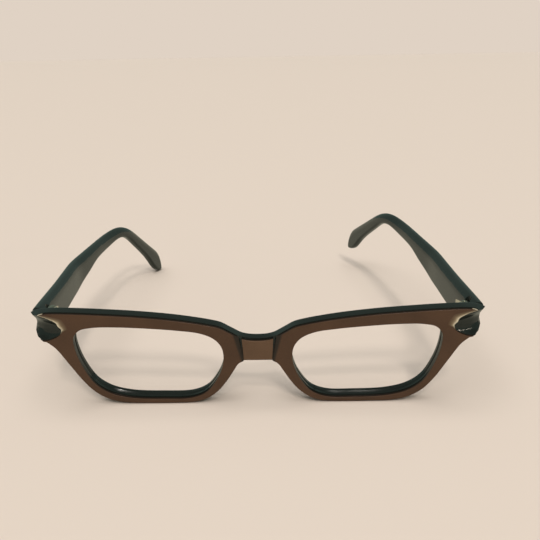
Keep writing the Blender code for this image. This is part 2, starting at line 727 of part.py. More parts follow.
def leaf_slab(path, pivot, name, grown, finish=None):
    """The flat leaf let into a temple's inner face, or its seat when grown."""
    start = HINGE_SETBACK if grown else CORE_START
    end = CORE_START + TEMPLE_LEAF_LENGTH + grown
    middle = TEMPLE_TOP - BARREL_MIDDLE
    inner = TEMPLE_THICKNESS + (OVERRUN if grown else 0.0)
    outer = TEMPLE_THICKNESS - LEAF_THICKNESS - grown
    rings = []
    for along, share in ((start, 1), (CORE_START + LEAF_THICKNESS, 1), (end, TEMPLE_LEAF_END_SHARE)):
        half = TEMPLE_LEAF_HEIGHT * share / 2 + grown
        rings.append([path.point(along, depth, drop)
                      for depth, drop in ((outer, middle - half), (inner, middle - half),
                                          (inner, middle + half), (outer, middle + half))])
    return loft(name, local(rings, pivot), pivot, finish)


def barrel_heights(index):
    """Foot and top of one barrel, counted from the lowest."""
    foot = BARREL_FOOT + index * BARREL_PITCH
    return foot, foot + BARREL_HEIGHT


def knuckle(name, pivot, index, toward, aside, arm_ends):
    """One barrel and its arm in one profile.

    The arm runs towards the front (-1) or the ear (1) and meets the barrel at a place aside of
    the axis; arm_ends gives its two far corners at a height.
    """
    axis = pivot.location.xy

    def meeting(across):
        return math.atan2(toward * math.sqrt(BARREL_RADIUS ** 2 - across ** 2), across)

    start = meeting(aside - toward * LEAF_ARM_THICKNESS / 2)
    span = (meeting(aside + toward * LEAF_ARM_THICKNESS / 2) - start) % (2 * math.pi)
    turns = [start + span * step / BARREL_SIDES for step in range(BARREL_SIDES + 1)]
    arc = [axis + Vector((math.cos(turn), math.sin(turn))) * BARREL_RADIUS for turn in turns]
    rings = []
    for height in barrel_heights(index):
        ends = sorted(arm_ends(height), key=lambda corner: -toward * corner.x)
        rings.append([Vector((point.x, point.y, height)) for point in arc + ends])
    return loft(name, local(rings, pivot), pivot)


def add_barrels(leaf, pivot, indices, toward, aside, arm_ends):
    """Join barrels with their arms to a leaf, and bore them for the screw."""
    for index in indices:
        combine(leaf, knuckle(f"{leaf.name}_barrel_{index + 1}", pivot, index, toward, aside,
                              arm_ends), "UNION")
    bore = cylinder(leaf.name + "_bore_cutter", Vector((0.0, 0.0)), BORE_RADIUS,
                    BARREL_FOOT - OVERRUN - pivot.location.z,
                    BARREL_TOP + OVERRUN - pivot.location.z, pivot)
    combine(leaf, bore, "DIFFERENCE")


def build_temple_hinge(fit, pivot, temple, path):
    """The hinge half that turns with the temple, with the second and fourth barrels."""
    combine(temple, leaf_slab(path, pivot, fit.name + "_leaf_seat_cutter", SEAT_GAP), "DIFFERENCE")
    leaf = leaf_slab(path, pivot, fit.name + "_temple_hinge_leaf", 0.0, "nickel_silver")

    def arm_ends(height):
        return [path.point(CORE_START + LEAF_THICKNESS, TEMPLE_THICKNESS - LEAF_THICKNESS * share,
                           TEMPLE_TOP - height).xy for share in ARM_ROOT_SHARES]

    add_barrels(leaf, pivot, range(1, BARREL_COUNT, 2), 1, 0.0, arm_ends)


def front_leaf_plate(fit, front, name, grown, finish=None):
    """The sunk plate of the hinge's front half, or its seat when grown."""
    outer = HINGE_ACROSS + grown
    inner = HINGE_ACROSS - FRONT_LEAF_WIDTH - grown
    middle = leaf_middle()
    half = FRONT_LEAF_HEIGHT / 2 + grown
    back = FRONT_THICKNESS + (OVERRUN if grown else 0.0)
    return box(name, (min(fit.side * inner, fit.side * outer),
                      FRONT_THICKNESS - LEAF_THICKNESS - grown, middle - half),
               (max(fit.side * inner, fit.side * outer), back, middle + half), front, finish)


def leaf_middle():
    """Height, in the front's own plane, of the middle of the hinge's front half."""
    return (BARREL_MIDDLE - FRONT_THICKNESS * math.sin(FRONT_LEAN)) / math.cos(FRONT_LEAN)


def front_leaf_studs(fit, front, name, grown):
    """Two studs that key the sunk plate into the base, or their holes when grown."""
    studs = []
    across = fit.side * (HINGE_ACROSS - FRONT_LEAF_WIDTH + STUD_MARGIN)
    plate_face = FRONT_THICKNESS - LEAF_THICKNESS
    for label, rise in (("upper", 1), ("lower", -1)):
        up = leaf_middle() + rise * (FRONT_LEAF_HEIGHT / 2 - STUD_MARGIN)
        rings = [disc_ring(Vector((across, depth, up)), STUD_RADIUS + grown, CORE_SIDES,
                           up=Vector((0, 0, 1)))
                 for depth in (plate_face - STUD_LENGTH - grown,
                               plate_face + LEAF_THICKNESS / 2 - grown)]
        studs.append(loft(f"{name}_{label}", rings, front))
    return studs


def build_front_hinge(fit, front, pivot):
    """The hinge half on the front, with the first, third and fifth barrels, and its cutters."""
    leaf = front_leaf_plate(fit, front, fit.name + "_front_hinge_leaf", 0.0, "nickel_silver")
    for stud in front_leaf_studs(fit, front, fit.name + "_stud", 0.0):
        combine(leaf, stud, "UNION")

    def arm_ends(height):
        root = TemplePath.rear_plane(height) - SEAT_GAP - LEAF_THICKNESS / 2
        outer = fit.side * (HINGE_ACROSS - SEAT_GAP)
        return [Vector((outer - fit.side * LEAF_ARM_THICKNESS, root)), Vector((outer, root))]

    aside = -fit.side * (SEAT_GAP + LEAF_ARM_THICKNESS / 2)
    add_barrels(leaf, pivot, range(0, BARREL_COUNT, 2), -1, aside, arm_ends)
    return [front_leaf_plate(fit, front, fit.name + "_plate_seat_cutter", SEAT_GAP),
            *front_leaf_studs(fit, front, fit.name + "_stud_hole_cutter", SEAT_GAP)]


def build_screw(fit, pivot):
    """The slotted screw through all five barrels."""
    foot = BARREL_FOOT - pivot.location.z
    head = BARREL_TOP + SEAT_GAP - pivot.location.z
    centre = Vector((0.0, 0.0))
    screw = cylinder(fit.name + "_hinge_screw", centre, SCREW_RADIUS, foot,
                     head + SCREW_HEAD_HEIGHT / 2, pivot, "nickel_silver")
    cap = loft(fit.name + "_screw_head",
               [disc_ring(Vector((0.0, 0.0, height)), radius, BARREL_SIDES)
                for height, radius in ((head, SCREW_HEAD_RADIUS),
                                       (head + SCREW_HEAD_HEIGHT * 2 / 3, SCREW_HEAD_RADIUS),
                                       (head + SCREW_HEAD_HEIGHT, SCREW_HEAD_RADIUS * 3 / 4))],
               pivot)
    combine(screw, cap, "UNION")
    half = SCREW_SLOT_WIDTH / 2
    reach = SCREW_HEAD_RADIUS + OVERRUN
    slot = box(fit.name + "_screw_slot_cutter",
               (-reach, -half, head + SCREW_HEAD_HEIGHT - SCREW_SLOT_DEPTH),
               (reach, half, head + SCREW_HEAD_HEIGHT + OVERRUN), pivot)
    combine(screw, slot, "DIFFERENCE")


def add_empty(name, location, parent):
    """An empty that carries pieces."""
    empty = bpy.data.objects.new(name, None)
    bpy.context.scene.collection.objects.link(empty)
    empty.location = location
    empty.parent = parent
    return empty


def centre_on_origin(whole, solids):
    """Put the middle of the part's box, at table height, on the origin."""
    bpy.context.view_layer.update()
    graph = bpy.context.evaluated_depsgraph_get()
    corners = []
    for item in solids:
        shape = item.evaluated_get(graph)
        corners += [shape.matrix_world @ Vector(corner) for corner in shape.bound_box]
    low = [min(corner[axis] for corner in corners) for axis in range(3)]
    high = [max(corner[axis] for corner in corners) for axis in range(3)]
    whole.location = (-(low[0] + high[0]) / 2, -(low[1] + high[1]) / 2, -low[2])


def main():
    """Build the whole frame."""
    clear_scene()
    whole = add_empty("whole_frame", (0.0, 0.0, 0.0), None)
    front = add_empty("front_plane", (0.0, 0.0, 0.0), whole)
    front.rotation_euler.x = FRONT_LEAN
    leaf_cutters = []
    scoops = {}
    for fit in FITTINGS:
        pivot = add_empty(fit.name + "_hinge_axis",
                          (fit.side * HINGE_ACROSS, HINGE_BACK, BARREL_MIDDLE), whole)
        leaf_cutters += build_front_hinge(fit, front, pivot)
        build_screw(fit, pivot)
        scoops[fit.side] = scoop_cutter(fit, front)
        temple, path = build_temple(fit, pivot)
        combine(temple, scoops[fit.side], "DIFFERENCE")
        build_temple_hinge(fit, pivot, temple, path)
    grooves = {fit.side: groove_cutter(fit, front) for fit in FITTINGS}
    build_base(front, leaf_cutters, scoops, grooves)
    build_face(front, grooves)
    build_nose_pads(front)
    solids = [item for item in bpy.context.scene.objects
              if item.type == "MESH" and not item.hide_render]
    centre_on_origin(whole, solids)


main()
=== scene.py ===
"""Looks of a cat eye spectacle frame in dark and pearl brown acetate, open on a table.

Sizes are in millimetres and are turned to metres where a ring of points is placed. The front is
drawn in its own leaning plane: across, back from the visible face, and up.
"""

import json
import logging
import math
from collections.abc import Callable
from dataclasses import dataclass, field
from enum import Enum

import bmesh
import bpy
from mathutils import Matrix, Vector


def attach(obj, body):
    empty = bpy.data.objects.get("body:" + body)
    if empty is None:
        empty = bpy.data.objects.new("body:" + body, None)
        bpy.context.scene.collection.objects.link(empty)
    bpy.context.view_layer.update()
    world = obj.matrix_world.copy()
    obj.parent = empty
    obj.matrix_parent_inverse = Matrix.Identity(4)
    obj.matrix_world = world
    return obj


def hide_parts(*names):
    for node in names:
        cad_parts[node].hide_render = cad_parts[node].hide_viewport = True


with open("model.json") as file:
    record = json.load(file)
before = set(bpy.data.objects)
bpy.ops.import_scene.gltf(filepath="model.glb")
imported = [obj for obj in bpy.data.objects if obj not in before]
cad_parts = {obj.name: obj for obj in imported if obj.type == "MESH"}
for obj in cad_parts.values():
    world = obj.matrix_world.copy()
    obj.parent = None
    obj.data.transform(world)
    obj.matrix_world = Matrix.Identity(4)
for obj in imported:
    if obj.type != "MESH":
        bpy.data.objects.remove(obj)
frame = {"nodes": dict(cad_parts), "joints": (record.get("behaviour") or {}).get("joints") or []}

LOG = logging.getLogger("cat_eye_frame")
MM = 0.001
CRESCENT_HIGHLIGHT = "glow"
ORDER = "order"
ROUND_SIDES = 48
BEVEL_SEGMENTS = 2
FLAT_FACE_WEIGHT = 80
FINE_MERGE_MM = 0.01
CAD_MERGE_MM = 0.002
CAD_FLAT_DEGREES = 0.5
LEAST_KNOT = 1e-6  # keeps two equal points from dividing by nothing

Ring = list[Vector]


class Side(Enum):
    """A side of the picture."""

    LEFT = "left"
    RIGHT = "right"

    @property
    def sign(self) -> int:
        """Minus one on the left, plus one on the right."""
        return -1 if self is Side.LEFT else 1


class Joining(Enum):
    """How one solid acts on another."""

    CUT = "DIFFERENCE"
    ADD = "UNION"
    KEEP = "INTERSECT"


# Material tools


def linear(colour: str) -> tuple[float, float, float, float]:
    """Turn an sRGB hex colour to linear.

    Args:
        colour: Six hex digits, with or without a leading hash.

    Returns:
        The linear red, green and blue with an alpha of one.
    """
    digits = colour.lstrip("#")
    values = [int(digits[i:i + 2], 16) / 255 for i in (0, 2, 4)]
    parts = [v / 12.92 if v <= 0.04045 else ((v + 0.055) / 1.055) ** 2.4 for v in values]
    return (parts[0], parts[1], parts[2], 1.0)


def feed(node: bpy.types.Node, inputs: dict) -> None:
    """Set the inputs of a node.

    Args:
        node: The node.
        inputs: Values or linked output sockets, by the input's name or number.
    """
    for name, value in inputs.items():
        if isinstance(value, bpy.types.NodeSocket):
            node.id_data.links.new(value, node.inputs[name])
        else:
            node.inputs[name].default_value = value


def add_node(tree: bpy.types.NodeTree, kind: str, settings: dict | None = None,
             inputs: dict | None = None) -> bpy.types.Node:
    """Add one node with its settings and its inputs.

    Args:
        tree: The node tree that takes the node.
        kind: The node's type name.
        settings: Values for the node's own properties.
        inputs: Values or linked output sockets for its inputs.

    Returns:
        The new node.
    """
    node = tree.nodes.new(kind)
    for name, value in (settings or {}).items():
        setattr(node, name, value)
    feed(node, inputs or {})
    return node


def new_material(name: str) -> tuple[bpy.types.Material, bpy.types.Node]:
    """Make an empty node material.

    Args:
        name: The material's name.

    Returns:
        The material and its Principled shader, which is linked to the output.
    """
    material = bpy.data.materials.new(name)
    material.use_nodes = True
    return material, material.node_tree.nodes["Principled BSDF"]


@dataclass(frozen=True)
class PolishedAcetate:
    """Cellulose acetate sheet, milled and tumble polished: deep, glossy and slightly wavy.

    It is green black, so that only its edges and the light on them show a colour. Barrel
    polishing leaves a faint haze and hairline scratches, which break up the reflections.
    """

    name: str = "polished_acetate_green_black"
    colour: str = "#1E2420"
    deep_colour: str = "#161A17"
    roughness: float = 0.14
    haze_shares: tuple[float, float] = (0.85, 1.25)
    haze_span: tuple[float, float] = (0.3, 0.7)
    ior: float = 1.47
    specular_level: float = 0.42
    cloud_mm: float = 9.0
    haze_mm: float = 0.6
    # Real hairlines are about 0.02 mm wide, and are drawn coarser so that they show
    scratch_mm: float = 0.18
    scratch_stretch: tuple[float, float, float] = (0.12, 0.3, 1.0)
    wave_depth_mm: float = 0.02
    scratch_depth_mm: float = 0.002

    def build(self) -> bpy.types.Material:
        """Make the material.

        Returns:
            The material.
        """
        material, shader = new_material(self.name)
        tree = material.node_tree
        place = add_node(tree, "ShaderNodeTexCoord").outputs["Object"]
        stretched = add_node(tree, "ShaderNodeMapping", {},
                             {"Vector": place, "Scale": self.scratch_stretch})
        cloud, haze, scratch = (
            add_node(tree, "ShaderNodeTexNoise", {},
                     {"Vector": vector, "Scale": 1 / (size_mm * MM), "Detail": detail})
            for vector, size_mm, detail in ((place, self.cloud_mm, 3.0),
                                            (place, self.haze_mm, 2.0),
                                            (stretched.outputs["Vector"], self.scratch_mm, 1.0)))
        tint = add_node(tree, "ShaderNodeMix", {"data_type": "RGBA"},
                        {"Factor": cloud.outputs["Fac"], 6: linear(self.deep_colour),
                         7: linear(self.colour)})
        gloss = add_node(tree, "ShaderNodeMapRange", {},
                         {"Value": haze.outputs["Fac"], "From Min": self.haze_span[0],
                          "From Max": self.haze_span[1],
                          "To Min": self.roughness * self.haze_shares[0],
                          "To Max": self.roughness * self.haze_shares[1]})
        wave = add_node(tree, "ShaderNodeBump", {},
                        {"Height": cloud.outputs["Fac"], "Distance": self.wave_depth_mm * MM})
        hairline = add_node(tree, "ShaderNodeBump", {},
                            {"Height": scratch.outputs["Fac"], "Normal": wave.outputs["Normal"],
                             "Distance": self.scratch_depth_mm * MM})
        feed(shader, {"Base Color": tint.outputs[2], "Roughness": gloss.outputs["Result"],
                      "Normal": hairline.outputs["Normal"], "IOR": self.ior,
                      "Specular IOR Level": self.specular_level})
        return material


@dataclass(frozen=True)
class PearlAcetate:
    """Pearl acetate: mica flakes in brown plastic, which glow softly as the form turns.

    The sheet has a cream layer under its brown one. Where the mill cuts through it at a slant,
    Beside the scoops a highlight is painted into the colour: along the crescent, where the
    slanted rolled edge catches the light, the brown lightens to cream over a millimetre. In its
    other walls the brown is darkened with depth towards the dark base, as painted shade.
    """

    name: str = "pearl_acetate_brown"
    colour: str = "#452F21"
    light_colour: str = "#583E2C"
    # Painted shade: the brown of every wall of the face darkens to this with depth
    painted_wall_shade_colour: str = "#2A211A"
    # Painted highlight colours, from where the brown starts to lighten to the brightest cream
    layers: tuple[tuple[float, str], ...] = (
        (0.20, "#5F4A37"), (0.42, "#715F48"), (0.62, "#9C8A70"), (0.82, "#E9DFC6"),
        (1.00, "#E9DFC6"))
    # Painted highlight: the stored crescent value from which the cream ramp shows
    highlight_start: float = 0.18
    lean: float = math.radians(8.0)
    surface_mm: float = 0.0
    skin_mm: float = 0.03
    wall_shade_mm: float = 0.35
    # Real mica flakes are about 0.05 mm wide, and are drawn coarser so that they show
    flake_mm: float = 0.30
    flake_share: float = 0.6
    drift_mm: float = 14.0
    blend_span: tuple[float, float] = (0.5, 1.1)
    roughness: float = 0.36
    metallic: float = 0.30
    flake_depth_mm: float = 0.004

    def build(self) -> bpy.types.Material:
        """Make the material.

        Returns:
            The material.
        """
        material, shader = new_material(self.name)
        tree = material.node_tree
        place = add_node(tree, "ShaderNodeTexCoord").outputs["Object"]
        drift, flake = (add_node(tree, "ShaderNodeTexNoise", {},
                                 {"Vector": place, "Scale": 1 / (size_mm * MM), "Detail": 2.0})
                        for size_mm in (self.drift_mm, self.flake_mm))
        blend = add_node(tree, "ShaderNodeMath", {"operation": "MULTIPLY_ADD"},
                         {0: flake.outputs["Fac"], 1: self.flake_share,
                          2: drift.outputs["Fac"]})
        amount = add_node(tree, "ShaderNodeMapRange", {},
                          {"Value": blend.outputs[0], "From Min": self.blend_span[0],
                           "From Max": self.blend_span[1]})
        # Painted shade: the deeper a point of a wall lies, the darker its brown
        inwards = add_node(tree, "ShaderNodeVectorMath", {"operation": "DOT_PRODUCT"},
                           {0: place, 1: (0.0, math.cos(self.lean), math.sin(self.lean))})
        sunk = add_node(tree, "ShaderNodeMapRange", {},
                        {"Value": inwards.outputs["Value"],
                         "From Min": (self.surface_mm + self.skin_mm) * MM,
                         "From Max": (self.surface_mm + self.wall_shade_mm) * MM})
        # Painted highlight of the crescent beside the scoops, read from the stored attribute
        glow = add_node(tree, "ShaderNodeAttribute", {"attribute_name": CRESCENT_HIGHLIGHT}).outputs["Fac"]
        fading = add_node(tree, "ShaderNodeValToRGB", {}, {"Fac": glow})
        ramp = fading.color_ramp
        ramp.interpolation = "B_SPLINE"
        stops = [(0.0, self.light_colour), *self.layers]
        while len(ramp.elements) < len(stops):
            ramp.elements.new(1.0)
        for element, (position, colour) in zip(ramp.elements, stops):
            element.position = position
            element.color = linear(colour)
        shown = add_node(tree, "ShaderNodeMapRange", {"interpolation_type": "SMOOTHSTEP"},
                         {"Value": glow, "From Max": self.highlight_start})
        surface = linear(self.colour)
        for factor, over in ((amount, linear(self.light_colour)),
                             (sunk, linear(self.painted_wall_shade_colour)), (shown, fading.outputs["Color"])):
            surface = add_node(tree, "ShaderNodeMix", {"data_type": "RGBA"},
                               {"Factor": factor.outputs["Result"], 6: surface,
                                7: over}).outputs[2]
        grain = add_node(tree, "ShaderNodeBump", {},
                         {"Height": flake.outputs["Fac"], "Distance": self.flake_depth_mm * MM})
        feed(shader, {"Base Color": surface, "Normal": grain.outputs["Normal"],
                      "Roughness": self.roughness, "Metallic": self.metallic})
        return material


@dataclass(frozen=True)
class NickelSilver:
    """Nickel silver, stamped and barrel polished: a warm pale grey metal with fine scratches."""

    name: str = "nickel_silver_polished"
    colour: str = "#CFC8B8"
    roughness: float = 0.22
    worn_shares: tuple[float, float] = (0.7, 1.5)
    # Real scratches are about 0.02 mm wide, and are drawn coarser so that they show
    scratch_mm: float = 0.15
    scratch_stretch: tuple[float, float, float] = (1.0, 0.15, 1.0)
    scratch_depth_mm: float = 0.003

    def build(self) -> bpy.types.Material:
        """Make the material.

        Returns:
            The material.
        """
        material, shader = new_material(self.name)
        tree = material.node_tree
        place = add_node(tree, "ShaderNodeTexCoord").outputs["Object"]
        stretched = add_node(tree, "ShaderNodeMapping", {},
                             {"Vector": place, "Scale": self.scratch_stretch})
        scratch = add_node(tree, "ShaderNodeTexNoise", {},
                           {"Vector": stretched.outputs["Vector"],
                            "Scale": 1 / (self.scratch_mm * MM), "Detail": 2.0}).outputs["Fac"]
        gloss = add_node(tree, "ShaderNodeMapRange", {},
                         {"Value": scratch, "To Min": self.roughness * self.worn_shares[0],
                          "To Max": self.roughness * self.worn_shares[1]})
        groove = add_node(tree, "ShaderNodeBump", {},
                          {"Height": scratch, "Distance": self.scratch_depth_mm * MM})
        feed(shader, {"Base Color": linear(self.colour), "Metallic": 1.0,
                      "Roughness": gloss.outputs["Result"], "Normal": groove.outputs["Normal"]})
        return material


@dataclass
class Finishes:
    """The materials of the whole frame, from the depth of the face's surface in millimetres."""

    surface_mm: float
    patch_mm: float
    dark: bpy.types.Material = field(init=False)
    pearl: bpy.types.Material = field(init=False)
    bridge: bpy.types.Material = field(init=False)
    metal: bpy.types.Material = field(init=False)
    wire: bpy.types.Material = field(init=False)

    def __post_init__(self) -> None:
        """Build every material once."""
        self.dark = PolishedAcetate().build()
        self.pearl = PearlAcetate(surface_mm=self.surface_mm).build()
        # Painted light: the bridge patch is a lighter copy of the pearl, as it catches more light
        # than the face
        self.bridge = PearlAcetate(name="pearl_acetate_bridge_painted_light", colour="#594230",
                                   light_colour="#6D523E", surface_mm=self.patch_mm).build()
        self.metal = NickelSilver().build()
        self.wire = NickelSilver(name="nickel_silver_drawn_wire", colour="#A39E92",
                                 roughness=0.4).build()


# Curves


def curve_point(points: Ring, share: float) -> Vector:
    """Find a point on the centripetal curve between the middle two of four points.

    Args:
        points: The four points.
        share: How far along the middle stretch, from 0 to 1.

    Returns:
        The point on the curve.
    """
    knots = [0.0]
    for near, far in zip(points, points[1:]):
        knots.append(knots[-1] + max(math.sqrt((far - near).length), LEAST_KNOT))
    place = knots[1] + (knots[2] - knots[1]) * share
    row = list(points)
    for spans in (((0, 1), (1, 2), (2, 3)), ((0, 2), (1, 3)), ((1, 2),)):
        row = [row[i].lerp(row[i + 1], (place - knots[a]) / (knots[b] - knots[a]))
               for i, (a, b) in enumerate(spans)]
    return row[0]


def smooth_curve(points: Ring, closed: bool, steps: int) -> Ring:
    """Draw a smooth curve through points, without the last one if it is open.

    Args:
        points: The points to pass through.
        closed: Whether the curve returns to its start.
        steps: Points for each stretch.

    Returns:
        The points of the curve.
    """
    if closed:
        chain = [points[-1], *points, points[0], points[1]]
    else:
        chain = [points[0] * 2 - points[1], *points, points[-1] * 2 - points[-2]]
    return [curve_point(chain[i:i + 4], step / steps)
            for i in range(len(chain) - 3) for step in range(steps)]


def through(points: Ring, steps: int) -> Ring:
    """A smooth open curve through points, with its last one."""
    return [*smooth_curve(points, False, steps), points[-1]]


def grown(outline: Ring, distance: float, mitre: float = 2.0) -> Ring:
    """Move a closed flat outline outwards by a distance, or inwards by a negative one.

    Args:
        outline: The outline's points.
        distance: How far to move it.
        mitre: How far a corner moves at most, in shares of the distance.

    Returns:
        The moved outline, point for point.
    """
    count = len(outline)
    area = sum(outline[i].cross(outline[(i + 1) % count]) for i in range(count))
    turn = math.copysign(1.0, area) * distance
    moved = []
    for index, point in enumerate(outline):
        before = (point - outline[index - 1]).normalized()
        after = (outline[(index + 1) % count] - point).normalized()
        along = (before + after).normalized()
        reach = 1 / max(along.dot(after), 1 / mitre)
        moved.append(point + Vector((along.y, -along.x)) * (turn * reach))
    return moved


def ramp_up(place: float, start: float, span: float) -> float:
    """Step smoothly from 0 to 1.

    Args:
        place: Where along.
        start: Where the step starts.
        span: How long it is.

    Returns:
        The step's height there.
    """
    share = min(max((place - start) / span, 0.0), 1.0)
    return share * share * (3 - 2 * share)


def eased(table: tuple[tuple[float, float], ...], share: float) -> float:
    """Read a smooth value from a table of pairs.

    Args:
        table: Places and values, in order.
        share: The place to read.

    Returns:
        The value there.
    """
    last = len(table) - 1
    index = max(i for i in range(last) if share >= table[i][0])
    low, high = table[index], table[index + 1]
    span = high[0] - low[0]

    def slope(i: int) -> float:
        """How steep the curve is at one pair."""
        before, after = table[max(i - 1, 0)], table[min(i + 1, last)]
        return (after[1] - before[1]) / (after[0] - before[0])

    t = (share - low[0]) / span
    return ((2 * t ** 3 - 3 * t ** 2 + 1) * low[1] + (t ** 3 - 2 * t ** 2 + t) * span * slope(index)
            + (3 * t ** 2 - 2 * t ** 3) * high[1] + (t ** 3 - t ** 2) * span * slope(index + 1))


def quarter_round(start: float, radius: float, opening: bool,
                  steps: int = 4) -> list[tuple[float, float]]:
    """Depths and offsets of a quarter round at an edge.

    Args:
        start: Depth where the rounding starts.
        radius: Its radius.
        opening: Whether the outline grows out of the edge, or else draws in to it.
        steps: How many stretches it has.

    Returns:
        Pairs of depth and outward offset from the full outline.
    """
    turns = [math.pi / 2 * step / steps for step in range(steps + 1)]
    if opening:
        return [(start + radius * (1 - math.cos(turn)), radius * (math.sin(turn) - 1))
                for turn in turns]
    return [(start + radius * math.sin(turn), radius * (math.cos(turn) - 1)) for turn in turns]


# Mesh tools


def deselect_all() -> None:
    """Leave nothing selected."""
    bpy.ops.object.select_all(action="DESELECT")


def make_active(piece: bpy.types.Object) -> None:
    """Select one object alone and make it active.

    Args:
        piece: The object.
    """
    deselect_all()
    piece.select_set(True)
    bpy.context.view_layer.objects.active = piece


def place_selected(piece: bpy.types.Object, ring: Ring) -> None:
    """Set the selected ring of points in its places, in edit mode.

    Args:
        piece: The object in edit mode.
        ring: The places in metres, in the ring's order.
    """
    mesh = bmesh.from_edit_mesh(piece.data)
    order = mesh.verts.layers.int[ORDER]
    for vertex in mesh.verts:
        if vertex.select:
            vertex.co = ring[vertex[order]]
    bmesh.update_edit_mesh(piece.data)


def settle_order(piece: bpy.types.Object) -> None:
    """Put the faces of a piece in the order of their points.

    Extruding leaves them in an order that changes from run to run, and Booleans, dissolves
    and bevels would follow it.

    Args:
        piece: The piece.
    """
    mesh = piece.data
    faces = []
    for face in mesh.polygons:
        corners = list(face.vertices)
        lowest = corners.index(min(corners))
        faces.append(corners[lowest:] + corners[:lowest])
    points = [tuple(vertex.co) for vertex in mesh.vertices]
    mesh.clear_geometry()
    mesh.from_pydata(points, [], sorted(faces))


def lofted(name: str, rings: list[Ring]) -> bpy.types.Object:
    """Extrude a flat disc ring by ring into a closed solid.

    Args:
        name: The new object's name.
        rings: Rings of equally many places, in millimetres.

    Returns:
        The solid, with its place in its mesh.
    """
    deselect_all()
    bpy.ops.mesh.primitive_circle_add(vertices=len(rings[0]), radius=MM, fill_type="NGON")
    piece = bpy.context.object
    piece.name = name
    piece.data.name = name
    bpy.ops.object.mode_set(mode="EDIT")
    bpy.ops.mesh.select_all(action="SELECT")
    mesh = bmesh.from_edit_mesh(piece.data)
    order = mesh.verts.layers.int.new(ORDER)
    for index, vertex in enumerate(mesh.verts):
        vertex[order] = index
    bmesh.update_edit_mesh(piece.data)
    scaled = [[point * MM for point in ring] for ring in rings]
    place_selected(piece, scaled[0])
    for ring in scaled[1:]:
        bpy.ops.mesh.extrude_region_move()
        place_selected(piece, ring)
    bpy.ops.mesh.select_all(action="SELECT")
    bpy.ops.mesh.normals_make_consistent(inside=False)
    bpy.ops.object.mode_set(mode="OBJECT")
    settle_order(piece)
    return piece


def round_bar(name: str, centre: Vector, radius: float, foot: float, top: float,
              sides: int = ROUND_SIDES) -> bpy.types.Object:
    """Add an upright cylinder with its place in its mesh.

    Args:
        name: The new object's name.
        centre: Where its axis stands, in millimetres.
        radius: Its radius.
        foot: Height of its foot.
        top: Height of its top.
        sides: How many sides it has.

    Returns:
        The cylinder.
    """
    deselect_all()
    bpy.ops.mesh.primitive_cylinder_add(
        vertices=sides, radius=radius * MM, depth=(top - foot) * MM,
        location=(centre.x * MM, centre.y * MM, (foot + top) / 2 * MM))
    piece = bpy.context.object
    piece.name = name
    piece.data.name = name
    bpy.ops.object.transform_apply(location=True, rotation=True, scale=True)
    return piece


def combine(piece: bpy.types.Object, joining: Joining, *others: bpy.types.Object) -> None:
    """Apply Booleans to a piece and throw the other solids away.

    Args:
        piece: The piece that stays.
        joining: What the others do to it.
        others: The solids that act on it, one after the other.
    """
    for other in others:
        modifier = piece.modifiers.new(joining.name.lower(), "BOOLEAN")
        modifier.operation = joining.value
        # The exact solver leaves open edges between the scoops' fine rings
        modifier.solver = "MANIFOLD"
        modifier.object = other
        make_active(piece)
        bpy.ops.object.modifier_apply(modifier=modifier.name)
        bpy.data.meshes.remove(other.data)


def tidy_edges(piece: bpy.types.Object, merge_mm: float = 0.02,
               flat_degrees: float = 0.05) -> None:
    """Merge the nearly equal points of a piece and dissolve its flat splits.

    Args:
        piece: The piece.
        merge_mm: Points nearer than this become one.
        flat_degrees: Faces that meet at less than this become one.
    """
    make_active(piece)
    bpy.ops.object.mode_set(mode="EDIT")
    bpy.ops.mesh.select_all(action="SELECT")
    bpy.ops.mesh.remove_doubles(threshold=merge_mm * MM)
    bpy.ops.mesh.dissolve_limited(angle_limit=math.radians(flat_degrees))
    bpy.ops.object.mode_set(mode="OBJECT")


def soften(piece: bpy.types.Object, sharp: float, width_mm: float = 0.0) -> None:
    """Round the sharp edges of a piece and shade it smoothly.

    Args:
        piece: The piece.
        sharp: Edges sharper than this are rounded, or else stay edges, in degrees.
        width_mm: Width of the rounding, or 0 for none.
    """
    make_active(piece)
    if width_mm:
        bevel = piece.modifiers.new("softened_edges", "BEVEL")
        bevel.width = width_mm * MM
        bevel.segments = BEVEL_SEGMENTS
        bevel.limit_method = "ANGLE"
        bevel.angle_limit = math.radians(sharp)
        bevel.use_clamp_overlap = True
        bevel.miter_outer = "MITER_ARC"
        bpy.ops.object.modifier_apply(modifier=bevel.name)
    bpy.ops.object.shade_smooth_by_angle(angle=math.radians(sharp))
    weighted = piece.modifiers.new("flat_faces", "WEIGHTED_NORMAL")
    weighted.keep_sharp = True
    weighted.weight = FLAT_FACE_WEIGHT
    bpy.ops.object.modifier_apply(modifier=weighted.name)


def merged_copy(node: str, name: str) -> bpy.types.Object:
    """Copy a CAD node and merge its loose triangles.

    Args:
        node: The CAD node.
        name: The new piece's name.

    Returns:
        The new piece.
    """
    source = frame["nodes"][node]
    piece = source.copy()
    piece.data = source.data.copy()
    piece.name = name
    piece.data.name = name
    piece.parent = None
    piece.matrix_world = Matrix.Identity(4)
    bpy.context.scene.collection.objects.link(piece)
    tidy_edges(piece, CAD_MERGE_MM, CAD_FLAT_DEGREES)
    return piece


def finish_piece(piece: bpy.types.Object, material: bpy.types.Material, body: str,
                 slot: str, *nodes: str) -> None:
    """Dress a piece, let it ride on its body and stand for its CAD nodes.

    Args:
        piece: The finished piece.
        material: Its material.
        body: The CAD body that it moves with.
        slot: The record's material slot; not used.
        nodes: The CAD nodes that it stands for.
    """
    piece.data.materials.clear()
    piece.data.materials.append(material)
    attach(piece, body)
    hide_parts(*nodes)
    LOG.info("%s rides on %s in %s, %d faces", piece.name, body, material.name,
             len(piece.data.polygons))


# Shapes that several pieces share


